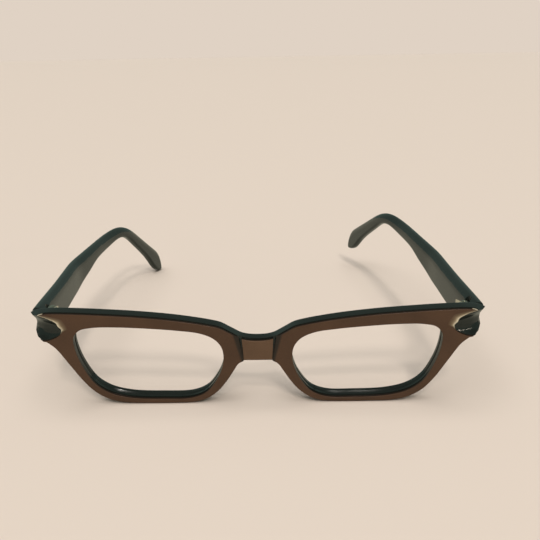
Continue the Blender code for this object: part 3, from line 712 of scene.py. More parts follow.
@dataclass(frozen=True)
class FrontShape:
    """Sizes of the front in millimetres, and its place in the whole."""

    origin: Vector
    eye_width: float = 45.1
    eye_height: float = 26.1
    bridge_width: float = 21.0
    lower_rim: float = 1.95
    brow_rim: float = 4.75
    endpiece_width: float = 12.5
    thickness: float = 4.2
    face_thickness: float = 0.6
    seat_gap: float = 0.3
    base_margin: float = 0.3
    lean: float = math.radians(8.0)
    end_bevel_length: float = 5.6
    end_bevel: float = 3.0
    bridge_drop: float = 0.5
    groove_depth: float = 0.8
    groove_foot_depth: float = 0.4
    groove_top_share: float = 0.248
    groove_foot_share: float = 0.212
    groove_wall_top: float = 2.7
    groove_wall_foot: float = 1.0
    groove_least_step: float = 0.05
    groove_reach: float = 1.35
    roll_start: float = 0.12
    roll_power: float = 1.35
    roll_steps: int = 6
    temple_below_top: float = 0.8
    overrun: float = 2.0
    steps: int = 8
    eye_shares: tuple[tuple[float, float], ...] = (
        (0.000, 0.593), (0.013, 0.720), (0.060, 0.828), (0.149, 0.903), (0.300, 0.946),
        (0.500, 0.979), (0.700, 1.000), (0.860, 0.997), (0.948, 0.960), (0.993, 0.865),
        (0.996, 0.710), (0.964, 0.465), (0.895, 0.220), (0.800, 0.090), (0.660, 0.020),
        (0.430, 0.000), (0.235, 0.012), (0.130, 0.095), (0.052, 0.275), (0.012, 0.440))
    brow_shares: tuple[tuple[float, float], ...] = (
        (0.000, 0.692), (0.067, 0.710), (0.120, 0.773), (0.164, 0.828), (0.212, 0.857),
        (0.351, 0.911), (0.512, 0.952), (0.673, 0.979), (0.833, 0.998), (0.914, 1.000),
        (0.970, 0.988), (1.000, 0.962))
    rim_shares: tuple[tuple[float, float], ...] = (
        (1.000, 0.962), (0.994, 0.876), (0.989, 0.785), (0.983, 0.716), (0.950, 0.705),
        (0.924, 0.683), (0.898, 0.634), (0.848, 0.447), (0.798, 0.260), (0.749, 0.130),
        (0.690, 0.048), (0.621, 0.010), (0.526, 0.000), (0.351, 0.000), (0.282, 0.015),
        (0.234, 0.054), (0.189, 0.130), (0.149, 0.236), (0.113, 0.362), (0.092, 0.434),
        (0.076, 0.460), (0.056, 0.465), (0.028, 0.465), (0.000, 0.465))

    @property
    def half_width(self) -> float:
        """Half the width of the front."""
        return self.bridge_width / 2 + self.eye_width + self.endpiece_width

    @property
    def height(self) -> float:
        """Height of the front in its own plane."""
        return self.lower_rim + self.eye_height + self.brow_rim

    @property
    def base_front(self) -> float:
        """Depth at which the dark base starts."""
        return self.face_thickness + self.seat_gap

    @property
    def temple_top(self) -> float:
        """Height of the top edge at a temple's front end."""
        return self.height - self.temple_below_top

    def at(self, across: float, depth: float, up: float) -> Vector:
        """Turn a place in the front's plane to the whole's frame, in millimetres."""
        c, s = math.cos(self.lean), math.sin(self.lean)
        return self.origin + Vector((across, depth * c - up * s, depth * s + up * c))

    def depth_of(self, place: Vector) -> float:
        """How far a place lies from its origin, along the front's depth."""
        return place.y * math.cos(self.lean) + place.z * math.sin(self.lean)

    def height_of(self, place: Vector) -> float:
        """How far a place lies from its origin, up the front's plane."""
        return place.z * math.cos(self.lean) - place.y * math.sin(self.lean)

    def flattened(self, place: Vector) -> Vector:
        """Turn a place in the whole's frame, in millimetres, to across, depth and up."""
        local = place - self.origin
        return Vector((local.x, self.depth_of(local), self.height_of(local)))

    def ring(self, outline: Ring, depth: float) -> Ring:
        """A flat outline at one depth, in the whole's frame."""
        return [self.at(point.x, depth, point.y) for point in outline]

    def bevelled(self, across: float, depth: float) -> float:
        """Draw in the outline's end at one depth.

        Args:
            across: Place of a point of the rear outline.
            depth: How far back the outline lies.

        Returns:
            The point's place across at that depth.
        """
        beyond = max(across - self.half_width + self.end_bevel_length, 0.0)
        lost = self.end_bevel * beyond / self.end_bevel_length
        return across - lost * (1 - depth / self.thickness)

    def outline(self, depth: float) -> Ring:
        """Draw the closed outline of the front, with a corner at each brow tip.

        Args:
            depth: Where it lies.

        Returns:
            The outline at that depth.
        """
        brow, rim = ([Vector((self.bevelled(across * self.half_width, depth), up * self.height))
                      for across, up in shares] for shares in (self.brow_shares, self.rim_shares))
        left_brow = [Vector((-point.x, point.y)) for point in reversed(brow[1:])]
        left_rim = [Vector((-point.x, point.y)) for point in reversed(rim[:-1])]
        return (smooth_curve(left_brow + brow, False, self.steps)
                + smooth_curve(rim + left_rim, False, self.steps))

    def eye(self, side: Side, lowered: float = 0.0) -> Ring:
        """Draw the closed outline of one eye opening.

        Args:
            side: Which eye.
            lowered: How far its foot is lowered.

        Returns:
            The outline.
        """
        return smooth_curve(
            [Vector((side.sign * (self.bridge_width / 2 + across * self.eye_width),
                     self.lower_rim + up * self.eye_height - lowered * max(1 - 2 * up, 0.0)))
             for across, up in self.eye_shares],
            True, self.steps)

    def blank(self, name: str, levels: list[tuple[float, float]]) -> bpy.types.Object:
        """Loft the front's outline.

        Args:
            name: The new object's name.
            levels: Pairs of depth and outward offset.

        Returns:
            The solid.
        """
        return lofted(name, [self.ring(grown(self.outline(depth), offset), depth)
                             for depth, offset in levels])

    def eye_cutter(self, side: Side, levels: list[tuple[float, float]],
                   lowered: float = 0.0) -> bpy.types.Object:
        """Loft one eye opening.

        Args:
            side: Which eye.
            levels: Pairs of depth and outward offset.
            lowered: How far its foot is lowered.

        Returns:
            The cutter.
        """
        eye = self.eye(side, lowered)
        return lofted("eye_cutter", [self.ring(grown(eye, offset), depth)
                                     for depth, offset in levels])

    def groove_line(self, side: Side, up: float, outwards: float = 0.0) -> float:
        """Find a V groove at one height.

        Args:
            side: Which groove.
            up: The height.
            outwards: 0 for its bottom, 1 for its outer rim on the face.

        Returns:
            The place across.
        """
        foot, top = (self.height * shares[1]
                     for shares in (self.rim_shares[-1], self.brow_shares[2]))
        share = (up - foot) / (top - foot)
        bottom = self.bridge_width * (self.groove_foot_share + share
                                      * (self.groove_top_share - self.groove_foot_share))
        wall = self.groove_wall_foot + (self.groove_wall_top - self.groove_wall_foot) * share
        return side.sign * (bottom + wall * outwards)

    def groove_span(self) -> tuple[float, float]:
        """Heights just below and above the bridge."""
        return (self.height * self.rim_shares[-1][1] - self.overrun / 2,
                self.height * self.brow_shares[3][1] + self.overrun / 2)

    def groove_cutter(self, side: Side) -> bpy.types.Object:
        """Cut a V groove through the face and into the base, steep beside the bridge.

        Args:
            side: Which groove.

        Returns:
            The cutter.
        """
        rings = []
        gap = side.sign * self.seat_gap
        half_bed = gap / 3
        for up, bottom in zip(self.groove_span(),
                              (self.groove_foot_depth, self.base_front + self.groove_depth)):
            low = self.groove_line(side, up)
            beside = min(self.base_front + self.bridge_drop, bottom - self.groove_least_step)
            section = [(low - gap, -self.overrun), (low - gap, beside),
                       (low - half_bed, bottom), (low + half_bed, bottom)]
            # The outer wall is rolled over by polishing, so that it fades into the face
            for step in range(self.roll_steps + 1):
                rise = step / self.roll_steps
                outwards = self.roll_start + (1 - self.roll_start) * rise ** self.roll_power
                section.append((self.groove_line(side, up, outwards), bottom * (1 - rise)))
            section.append((self.groove_line(side, up, self.groove_reach), -self.overrun))
            rings.append([self.at(across, depth, up) for across, depth in section])
        return lofted("groove_cutter", rings)

    def slab(self, name: str, edges: tuple[Callable[[float], float], Callable[[float], float]],
             heights: tuple[float, float], rear: float) -> bpy.types.Object:
        """Loft a prism between two slanted edges, from before the face backwards.

        Args:
            name: The new object's name.
            edges: Places across of its two sides, by height.
            heights: Where its foot and its top are.
            rear: Depth at which it ends.

        Returns:
            The prism.
        """
        (left, right), (foot, top) = edges, heights
        corners = [Vector((edge(up), up)) for edge, up in (
            (left, foot), (right, foot), (right, top), (left, top))]
        return lofted(name, [self.ring(corners, depth) for depth in (-self.overrun, rear)])


@dataclass(frozen=True)
class ScoopShape:
    """The milled scoop of an endpiece and the lit crescent round it, in millimetres."""

    front: FrontShape
    from_tip: float = 9.3
    beyond_tip: float = 0.9
    depth: float = 9.2
    height_share: float = 0.2683
    below_top_share: float = 0.2805
    sunk_reach: float = 4.0
    roll_power: float = 1.25
    roll_above: float = 1.25
    roll_steps: int = 8
    steps: int = 6
    shares: tuple[tuple[float, ...], ...] = (
        (0.000, 0.400, 0.000, 0.390, 0.000, 0.370, 0.005, 0.350, 0.000, 0.340, 0.000),
        (0.030, 0.440, 0.000, 0.410, 0.035, 0.350, 0.050, 0.290, 0.035, 0.250, 0.000),
        (0.080, 0.510, 0.000, 0.470, 0.065, 0.370, 0.090, 0.260, 0.060, 0.190, 0.000),
        (0.115, 0.630, 0.000, 0.530, 0.080, 0.370, 0.110, 0.240, 0.075, 0.155, 0.000),
        (0.190, 0.710, 0.000, 0.540, 0.120, 0.350, 0.145, 0.210, 0.100, 0.105, 0.000),
        (0.290, 0.780, 0.000, 0.550, 0.165, 0.335, 0.190, 0.180, 0.130, 0.055, 0.000),
        (0.400, 0.850, 0.000, 0.560, 0.215, 0.320, 0.245, 0.150, 0.170, 0.010, 0.000),
        (0.540, 0.910, 0.000, 0.570, 0.275, 0.300, 0.310, 0.130, 0.220, -0.005, 0.000),
        (0.660, 0.970, 0.020, 0.580, 0.345, 0.280, 0.385, 0.120, 0.270, -0.020, 0.010),
        (0.800, 0.960, 0.160, 0.600, 0.460, 0.290, 0.500, 0.110, 0.360, -0.030, 0.150),
        (0.905, 0.930, 0.330, 0.620, 0.760, 0.330, 0.800, 0.120, 0.470, -0.020, 0.290),
        (1.000, 0.900, 0.450, 0.640, 1.000, 0.400, 1.050, 0.150, 0.600, 0.000, 0.420))
    crescent: tuple[tuple[float, float, float, float], ...] = (
        (0.35, 2.30, 0.00, 0.60), (1.20, 2.55, 0.00, 0.20), (1.80, 2.60, 0.00, 0.00),
        (1.85, 2.45, 0.00, 0.00), (1.80, 1.85, 0.00, 0.00), (1.60, 1.05, 0.00, 0.00),
        (1.35, 0.45, 0.00, 0.00), (1.15, 0.10, 0.00, 0.00), (0.95, 0.00, 0.00, 0.00),
        (0.75, 0.00, 0.00, 0.00), (0.60, 0.00, 0.00, 0.00), (0.60, 0.00, 0.00, 0.00))

    def column(self, side: Side, index: int) -> Ring:
        """One lengthwise line of the scoop, as across, depth and up.

        Args:
            side: Which endpiece.
            index: 0 for the upper edge, then the hollow flank, the valley, the lower flank and
                the lower edge.

        Returns:
            The smooth line.
        """
        front = self.front
        length = self.from_tip + self.beyond_tip
        start = front.half_width - self.from_tip
        tall = front.height * self.height_share
        foot = front.height * (1 - self.below_top_share)
        points = [Vector((side.sign * (start + shares[0] * length),
                          shares[2 + 2 * index] * self.depth,
                          foot + shares[1 + 2 * index] * tall)) for shares in self.shares]
        return through(points, self.steps)

    def cutter(self, side: Side, sunk: float = 0.0) -> bpy.types.Object:
        """The scoop, which deepens outwards and runs out on the temple.

        Args:
            side: Which endpiece.
            sunk: Depth at which the scoop's edge lies, so that the dark base meets the face.

        Returns:
            The cutter.
        """
        columns = [self.column(side, index) for index in range(5)]
        overrun = self.front.overrun
        rings = []
        for station in zip(*columns):
            upper = smooth_curve(list(station[:3]), False, self.steps)
            lower = through(list(station[2:]), self.steps)
            section = [*upper, *lower]
            lid = [Vector((point.x, -overrun, point.z)) for point in (section[-1], section[0])]
            for point in section if sunk else ():
                point.y += sunk * max(1 - point.y / (self.sunk_reach * sunk), 0.0) ** 2
            rings.append([self.front.at(*point) for point in [*section, *lid]])
        return lofted("scoop_cutter", rings)

    def rims(self, side: Side) -> list[tuple[Vector, Vector]]:
        """Draw the scoop's edge on the face.

        Args:
            side: Which endpiece.

        Returns:
            Each point of the edge, with how far the crescent reaches from it.
        """
        edges = []
        for index, sense, column in ((0, 1, 0), (2, -1, 4)):
            flare = through([Vector((-side.sign * row[index + 1], sense * row[index]))
                             for row in self.crescent], self.steps)
            edges.append([(Vector((point.x, point.z)), reach)
                          for point, reach in zip(self.column(side, column), flare)])
        return edges[0] + edges[1][::-1]

    def face_cutter(self, side: Side) -> bpy.types.Object:
        """Cut the scoop through the face, with a rolled edge that leaves the lit crescent.

        Args:
            side: Which endpiece.

        Returns:
            The cutter.
        """
        front = self.front
        rims = self.rims(side)
        levels = [(-front.overrun, self.roll_above)]
        levels += [(front.base_front * step / self.roll_steps,
                    (1 - step / self.roll_steps) ** self.roll_power)
                   for step in range(self.roll_steps + 1)]
        levels.append((front.base_front + front.overrun, 0.0))
        return lofted("face_scoop_cutter",
                      [front.ring([point + reach * flare for point, reach in rims], depth)
                       for depth, flare in levels])


@dataclass(frozen=True)
class TempleFit:
    """How one temple was bent: three angles inwards, a lift and the ear's drop, in degrees."""

    front_angle: float
    rear_angle: float
    tip_angle: float
    lift: float
    drop: float


FITS = {
    Side.LEFT: TempleFit(-3.93, 3.96, 14.2, 0.20, 35.5),
    Side.RIGHT: TempleFit(2.19, 7.98, 16.4, 2.77, 30.0),
}


@dataclass
class TemplePath:
    """The outer top edge of one temple, with the directions that turn along it."""

    front: FrontShape
    side: Side
    front_leg: float = 47.9
    rear_leg: float = 45.7
    ear_bend: float = 41.0
    tip_leg: float = 14.4
    kink_span: float = 13.0
    drop_shares: tuple[float, float] = (-0.078, 0.647)
    turn_shares: tuple[float, float] = (-0.487, 0.734)
    lean_share: float = 0.060
    ring_count: int = 168
    frames: list[tuple[float, Vector, Vector, Vector, Vector]] = field(default_factory=list)

    def __post_init__(self) -> None:
        """Walk along the temple."""
        front = self.front
        place = front.origin + Vector((self.side.sign * front.half_width,
                                       self.rear_plane(front.temple_top), front.temple_top))
        for index in range(self.ring_count + 1):
            along = index * self.step
            self.frames.append((along, place.copy(), *self.directions(along)))
            place += self.directions(along + self.step / 2)[0] * self.step

    @property
    def length(self) -> float:
        """Length of the temple."""
        return self.front_leg + self.rear_leg + self.ear_bend + self.tip_leg

    @property
    def step(self) -> float:
        """Distance between two rings."""
        return self.length / self.ring_count

    def rear_plane(self, up: float) -> float:
        """How far back the temple's end starts at one height."""
        front = self.front
        return ((front.thickness + front.seat_gap) / math.cos(front.lean)
                - up * math.tan(front.lean))

    def ear_ramp(self, along: float, shares: tuple[float, float]) -> float:
        """A smooth step over the ear, from its start and span in shares of the ear bend."""
        return ramp_up(along, self.front_leg + self.rear_leg + shares[0] * self.ear_bend,
                       shares[1] * self.ear_bend)

    def directions(self, along: float) -> tuple[Vector, Vector, Vector]:
        """Find how the temple runs at one place.

        Args:
            along: Distance along it.

        Returns:
            The directions along the temple, inwards and upwards.
        """
        fit = FITS[self.side]
        sign = self.side.sign
        turn = math.radians(
            fit.front_angle
            + (fit.rear_angle - fit.front_angle) * ramp_up(
                along, self.front_leg - self.kink_span / 2, self.kink_span)
            + (fit.tip_angle - fit.rear_angle) * self.ear_ramp(along, self.turn_shares))
        pitch = math.radians(fit.lift - fit.drop * self.ear_ramp(along, self.drop_shares))
        forward = Vector((-sign * math.sin(turn) * math.cos(pitch),
                          math.cos(turn) * math.cos(pitch), math.sin(pitch)))
        inward = Vector((-sign * math.cos(turn), -math.sin(turn), 0.0))
        upward = Vector((sign * math.sin(turn) * math.sin(pitch),
                         -math.cos(turn) * math.sin(pitch), math.cos(pitch)))
        return forward, inward, upward

    def point(self, along: float, depth: float, drop: float) -> Vector:
        """Find a place on or in the temple.

        Args:
            along: Distance along it.
            depth: Distance in from its outside.
            drop: Distance down from its top edge.

        Returns:
            The place in the whole's frame.
        """
        index = min(max(int(along / self.step), 0), len(self.frames) - 1)
        start, place, forward, inward, upward = self.frames[index]
        return (place + forward * (along - start) + inward * (depth + drop * self.lean_share)
                - upward * drop)


@dataclass(frozen=True)
class HingeShape:
    """Sizes of the sunk five-barrel hinge in millimetres."""

    front: FrontShape
    barrel_radius: float = 1.65
    barrel_height: float = 1.35
    barrel_count: int = 5
    barrel_drop: float = 9.3
    temple_thickness: float = 3.8
    setback: float = 4.6
    inboard: float = 0.5
    leaf_thickness: float = 0.8
    arm_thickness: float = 1.1
    front_leaf_width: float = 7.6
    front_leaf_height: float = 8.6
    corner: float = 1.0
    temple_leaf_length: float = 5.6
    temple_leaf_height: float = 5.2
    temple_leaf_end_share: float = 0.5
    temple_leaf_start: float = 8.2
    arm_root_shares: tuple[float, float] = (0.15, 0.85)
    screw_radius: float = 0.55
    head_radius: float = 1.2
    head_height: float = 0.6
    slot_width: float = 0.4
    slot_depth: float = 0.3
    slot_overrun: float = 1.0
    head_chamfer: float = 0.08
    head_dome: tuple[tuple[float, float], ...] = (
        (0.55, 1.0), (0.80, 0.93), (0.95, 0.75), (1.0, 0.45))
    point_length: float = 0.15
    point_share: float = 0.8
    relief_gap: float = 0.15
    seat_room: float = 0.06
    corner_steps: int = 6
    barrel_steps: int = 40

    @property
    def foot(self) -> float:
        """Height of the lowest barrel's foot."""
        return self.front.temple_top - self.barrel_drop

    @property
    def top(self) -> float:
        """Height of the highest barrel's top."""
        gap = self.front.seat_gap
        return self.foot + self.barrel_count * (self.barrel_height + gap) - gap

    @property
    def middle(self) -> float:
        """Height of the middle of the barrels."""
        return (self.foot + self.top) / 2

    @property
    def across(self) -> float:
        """Distance of the axis from the middle of the frame."""
        return self.front.half_width - self.temple_thickness - self.inboard

    @property
    def back(self) -> float:
        """How far back the axis stands."""
        front = self.front
        return (front.thickness / math.cos(front.lean) - self.middle * math.tan(front.lean)
                + self.setback)

    @property
    def running_gap(self) -> float:
        """Room between the screw and what it passes or holds."""
        return self.front.seat_gap / 3

    def axis(self, side: Side) -> Vector:
        """Where the axis stands, in the whole's frame."""
        return self.front.origin + Vector((side.sign * self.across, self.back, 0.0))

    def heights(self, index: int) -> tuple[float, float]:
        """Foot and top of one barrel in the whole's frame, counted from the lowest."""
        pitch = self.barrel_height + self.front.seat_gap
        foot = self.front.origin.z + self.foot + index * pitch
        return foot, foot + self.barrel_height

    def plate_outline(self, side: Side, spare: float) -> Ring:
        """Draw the sunk plate in the front's plane, with rounded corners.

        Args:
            side: Which hinge.
            spare: Room round it, or 0 for the plate itself.

        Returns:
            The outline.
        """
        front = self.front
        middle = (self.middle - front.thickness * math.sin(front.lean)) / math.cos(front.lean)
        centre = Vector((side.sign * (self.across - self.front_leaf_width / 2), middle))
        half_wide = self.front_leaf_width / 2 + spare
        half_tall = self.front_leaf_height / 2 + spare
        radius = self.corner + spare
        ring = []
        for quarter, (x, y) in enumerate(((1, 1), (-1, 1), (-1, -1), (1, -1))):
            for step in range(self.corner_steps + 1):
                turn = (quarter + step / self.corner_steps) * math.pi / 2
                ring.append(centre + Vector((
                    x * (half_wide - radius) + radius * math.cos(turn),
                    y * (half_tall - radius) + radius * math.sin(turn))))
        return ring

    def plate(self, side: Side, spare: float = 0.0, reach: float = 0.0) -> bpy.types.Object:
        """Loft the sunk plate, or its seat when it has spare room.

        Args:
            side: Which hinge.
            spare: Room round it, or 0 for the plate itself.
            reach: How far it stands out of the base.

        Returns:
            The plate.
        """
        front = self.front
        outline = self.plate_outline(side, spare)
        depths = (front.thickness - self.leaf_thickness - spare, front.thickness + reach)
        return lofted("plate", [front.ring(outline, depth) for depth in depths])


# Sub-assemblies


@dataclass
class Front:
    """The laminated front with its nose pads.

    From the angles called sharp, in degrees, an edge is rounded or stays an edge.
    """

    shape: FrontShape
    scoop: ScoopShape
    hinge: HingeShape
    finishes: Finishes
    base_sharp: float = 35.0
    face_sharp: float = 40.0
    pad_sharp: float = 50.0
    edge_mm: float = 0.10
    edge_steps: int = 2
    rear_steps: int = 5
    rear_round: float = 0.68
    eye_rear_round: float = 0.4
    face_round: float = 0.15
    face_foot_lowered: float = 0.45
    lens_groove_depth: float = 0.5
    lens_groove_width: float = 1.1
    lens_groove_setback: float = 2.3
    lens_groove_bed: float = 0.08
    lens_groove_bed_share: float = 0.92
    patch_gap_foot: float = 0.12
    patch_gap_top: float = 0.40
    patch_shrink: float = 0.3
    pad_length: float = 10.0
    pad_width: float = 3.0
    pad_depth: float = 2.4
    pad_splay: float = 0.4
    pad_from_eye: float = 0.6
    pad_height_share: float = 0.28
    pad_lean: float = math.radians(26.0)
    pad_sunk: float = 0.05
    pad_depth_share: float = 0.97
    pad_steps: int = 6
    pad_layer_steps: int = 5
    pad_shares: tuple[tuple[float, float], ...] = (
        (0.0, 1.0), (0.55, 0.86), (0.88, 0.50), (1.0, 0.0), (0.94, -0.48), (0.62, -0.86))
    pad_layers: tuple[tuple[float, float, float], ...] = (
        (0.0, 0.0, 0.0), (0.55, 0.10, 0.4), (0.85, 0.28, 0.8), (1.0, 0.50, 1.0))
    pad_dome: float = 0.05
    pad_dome_turns: tuple[float, ...] = (0.5, 1.0, 1.35)
    # How far the painted highlight of the crescent spreads
    highlight_full: float = 0.4
    highlight_margin: float = 0.05

    def build(self) -> None:
        """Make and dress every piece of the front."""
        self.build_base()
        for side in Side:
            self.build_face(side)
            self.build_pad(side)
        self.build_patch()

    def build_base(self) -> None:
        """The thick dark base with its eyes, lens grooves, scoops, V grooves and hinge seats."""
        shape = self.shape
        levels = quarter_round(shape.base_front, self.edge_mm, True, self.edge_steps)
        levels += quarter_round(shape.thickness - self.rear_round, self.rear_round, False,
                                self.rear_steps)
        base = shape.blank("polished_base", [(depth, offset + shape.base_margin)
                                             for depth, offset in levels])
        for side in Side:
            combine(base, Joining.CUT, self.base_eye_cutter(side),
                    self.scoop.cutter(side, shape.base_front), shape.groove_cutter(side),
                    self.hinge.plate(side, self.hinge.seat_room, shape.overrun))
        combine(base, Joining.CUT, shape.slab(
            "bridge_drop_cutter", (lambda up: shape.groove_line(Side.LEFT, up),
                                   lambda up: shape.groove_line(Side.RIGHT, up)),
            shape.groove_span(), shape.base_front + shape.bridge_drop))
        tidy_edges(base)
        soften(base, self.base_sharp, self.edge_mm)
        finish_piece(base, self.finishes.dark, "front", "dark_acetate", "front_base")

    def base_eye_cutter(self, side: Side) -> bpy.types.Object:
        """Cut an eye opening with its lens groove and its rounded rear edge.

        Args:
            side: Which eye.

        Returns:
            The cutter.
        """
        shape = self.shape
        half, bed = self.lens_groove_width / 2, self.lens_groove_bed
        middle, deep = self.lens_groove_setback, self.lens_groove_depth
        rear = self.eye_rear_round
        levels = [(-shape.overrun, 0.0), (middle - half, 0.0),
                  (middle - bed, deep * self.lens_groove_bed_share), (middle, deep),
                  (middle + bed, deep * self.lens_groove_bed_share), (middle + half, 0.0)]
        levels += [(depth, -offset) for depth, offset
                   in quarter_round(shape.thickness - rear, rear, False, self.rear_steps)]
        levels.append((shape.thickness + shape.overrun, rear))
        return shape.eye_cutter(side, levels)

    def build_face(self, side: Side) -> None:
        """Make one pearl brown side of the face, with a painted highlight beside its scoop.

        Args:
            side: Which side.
        """
        shape = self.shape
        name = side.value
        rounding = quarter_round(0.0, self.face_round, True)
        face = shape.blank(f"{name}_pearl_face", [*rounding, (shape.base_front, 0.0)])
        beyond = side.sign * (shape.half_width + shape.overrun)
        rear = shape.base_front + shape.overrun
        region = shape.slab("face_region", (lambda up: shape.groove_line(side, up),
                                            lambda up: beyond),
                            (-shape.overrun, shape.height + shape.overrun), rear)
        combine(face, Joining.KEEP, region)
        eye = [(-shape.overrun, self.face_round),
               *((depth, -offset) for depth, offset in rounding), (rear, 0.0)]
        combine(face, Joining.CUT, shape.eye_cutter(side, eye, self.face_foot_lowered),
                self.scoop.face_cutter(side), shape.groove_cutter(side))
        tidy_edges(face, FINE_MERGE_MM)
        soften(face, self.face_sharp)
        self.paint_crescent_highlight(face, side)
        finish_piece(face, self.finishes.pearl, "front", "pearl_brown_acetate", f"{name}_face")

    def paint_crescent_highlight(self, face: bpy.types.Object, side: Side) -> None:
        """Store the painted highlight of the crescent at every point of a face piece.

        Args:
            face: The face piece.
            side: Which side it is on.
        """
        shape = self.shape
        rims = self.scoop.rims(side)
        glow = face.data.attributes.new(CRESCENT_HIGHLIGHT, "FLOAT", "POINT")
        for index, vertex in enumerate(face.data.vertices):
            spot = shape.flattened(vertex.co / MM)
            flat = Vector((spot.x, spot.z))
            distance, reach = min(((flat - point).length, flare.length)
                                  for point, flare in rims)
            if distance < reach + self.highlight_margin:
                deep = min(max(spot.y / shape.base_front, 0.0), 1.0)
                glow.data[index].value = deep * min(reach / self.highlight_full, 1.0)

    def build_patch(self) -> None:
        """The lowered piece of the face on the bridge, in a lighter pearl as painted light."""
        shape = self.shape
        foot, top = shape.groove_span()

        def edge(side: Side, up: float) -> float:
            """Place across of one side of the patch."""
            gap = self.patch_gap_foot + ((self.patch_gap_top - self.patch_gap_foot)
                                         * (up - foot) / (top - foot))
            return shape.groove_line(side, up) - side.sign * gap

        levels = [*quarter_round(0.0, self.face_round, True), (shape.base_front, 0.0)]
        patch = shape.blank("bridge_patch", [(depth + shape.bridge_drop, offset - self.patch_shrink)
                                             for depth, offset in levels])
        region = shape.slab("patch_region", (lambda up: edge(Side.LEFT, up),
                                             lambda up: edge(Side.RIGHT, up)),
                            (foot - shape.overrun, top + shape.overrun),
                            shape.base_front + shape.overrun)
        combine(patch, Joining.KEEP, region)
        tidy_edges(patch, FINE_MERGE_MM)
        soften(patch, self.face_sharp, self.edge_mm)
        finish_piece(patch, self.finishes.bridge, "front", "bridge_pearl_acetate", "bridge_face")

    def build_pad(self, side: Side) -> None:
        """Make a domed nose pad cemented behind the rim, splayed outwards to the back.

        Args:
            side: Which side.
        """
        shape = self.shape
        half = [Vector((across * self.pad_width / 2, up * self.pad_length / 2))
                for across, up in self.pad_shares]
        mirrored = [Vector((-point.x, point.y)) for point in reversed(half[1:])]
        outline = smooth_curve(half + mirrored, True, self.pad_steps)
        layers = through([Vector(layer) for layer in self.pad_layers], self.pad_layer_steps)
        # The last layers close the dome
        last = layers[-1]
        layers += [Vector((last.x + self.pad_dome * math.sin(turn),
                           1 - (1 - last.y) * math.cos(turn), last.z))
                   for turn in self.pad_dome_turns]
        lean = self.pad_lean * side.sign
        middle = shape.bridge_width / 2 - self.pad_from_eye
        rings = []
        for deep, shrunk, splay in layers:
            depth = (shape.thickness - self.pad_sunk
                     + deep * (self.pad_depth + shape.seat_gap) * self.pad_depth_share)
            ring = []
            for point in outline:
                wide = point.x * (1 - shrunk)
                long = point.y * (1 - shrunk * self.pad_width / self.pad_length)
                across = wide * math.cos(lean) + long * math.sin(lean)
                up = long * math.cos(lean) - wide * math.sin(lean)
                ring.append(shape.at(side.sign * (middle + splay * self.pad_splay) - across,
                                     depth, self.pad_height_share * shape.height + up))
            rings.append(ring)
        pad = lofted(f"{side.value}_polished_pad", rings)
        soften(pad, self.pad_sharp)
        finish_piece(pad, self.finishes.dark, "front", "dark_acetate", f"{side.value}_nose_pad")


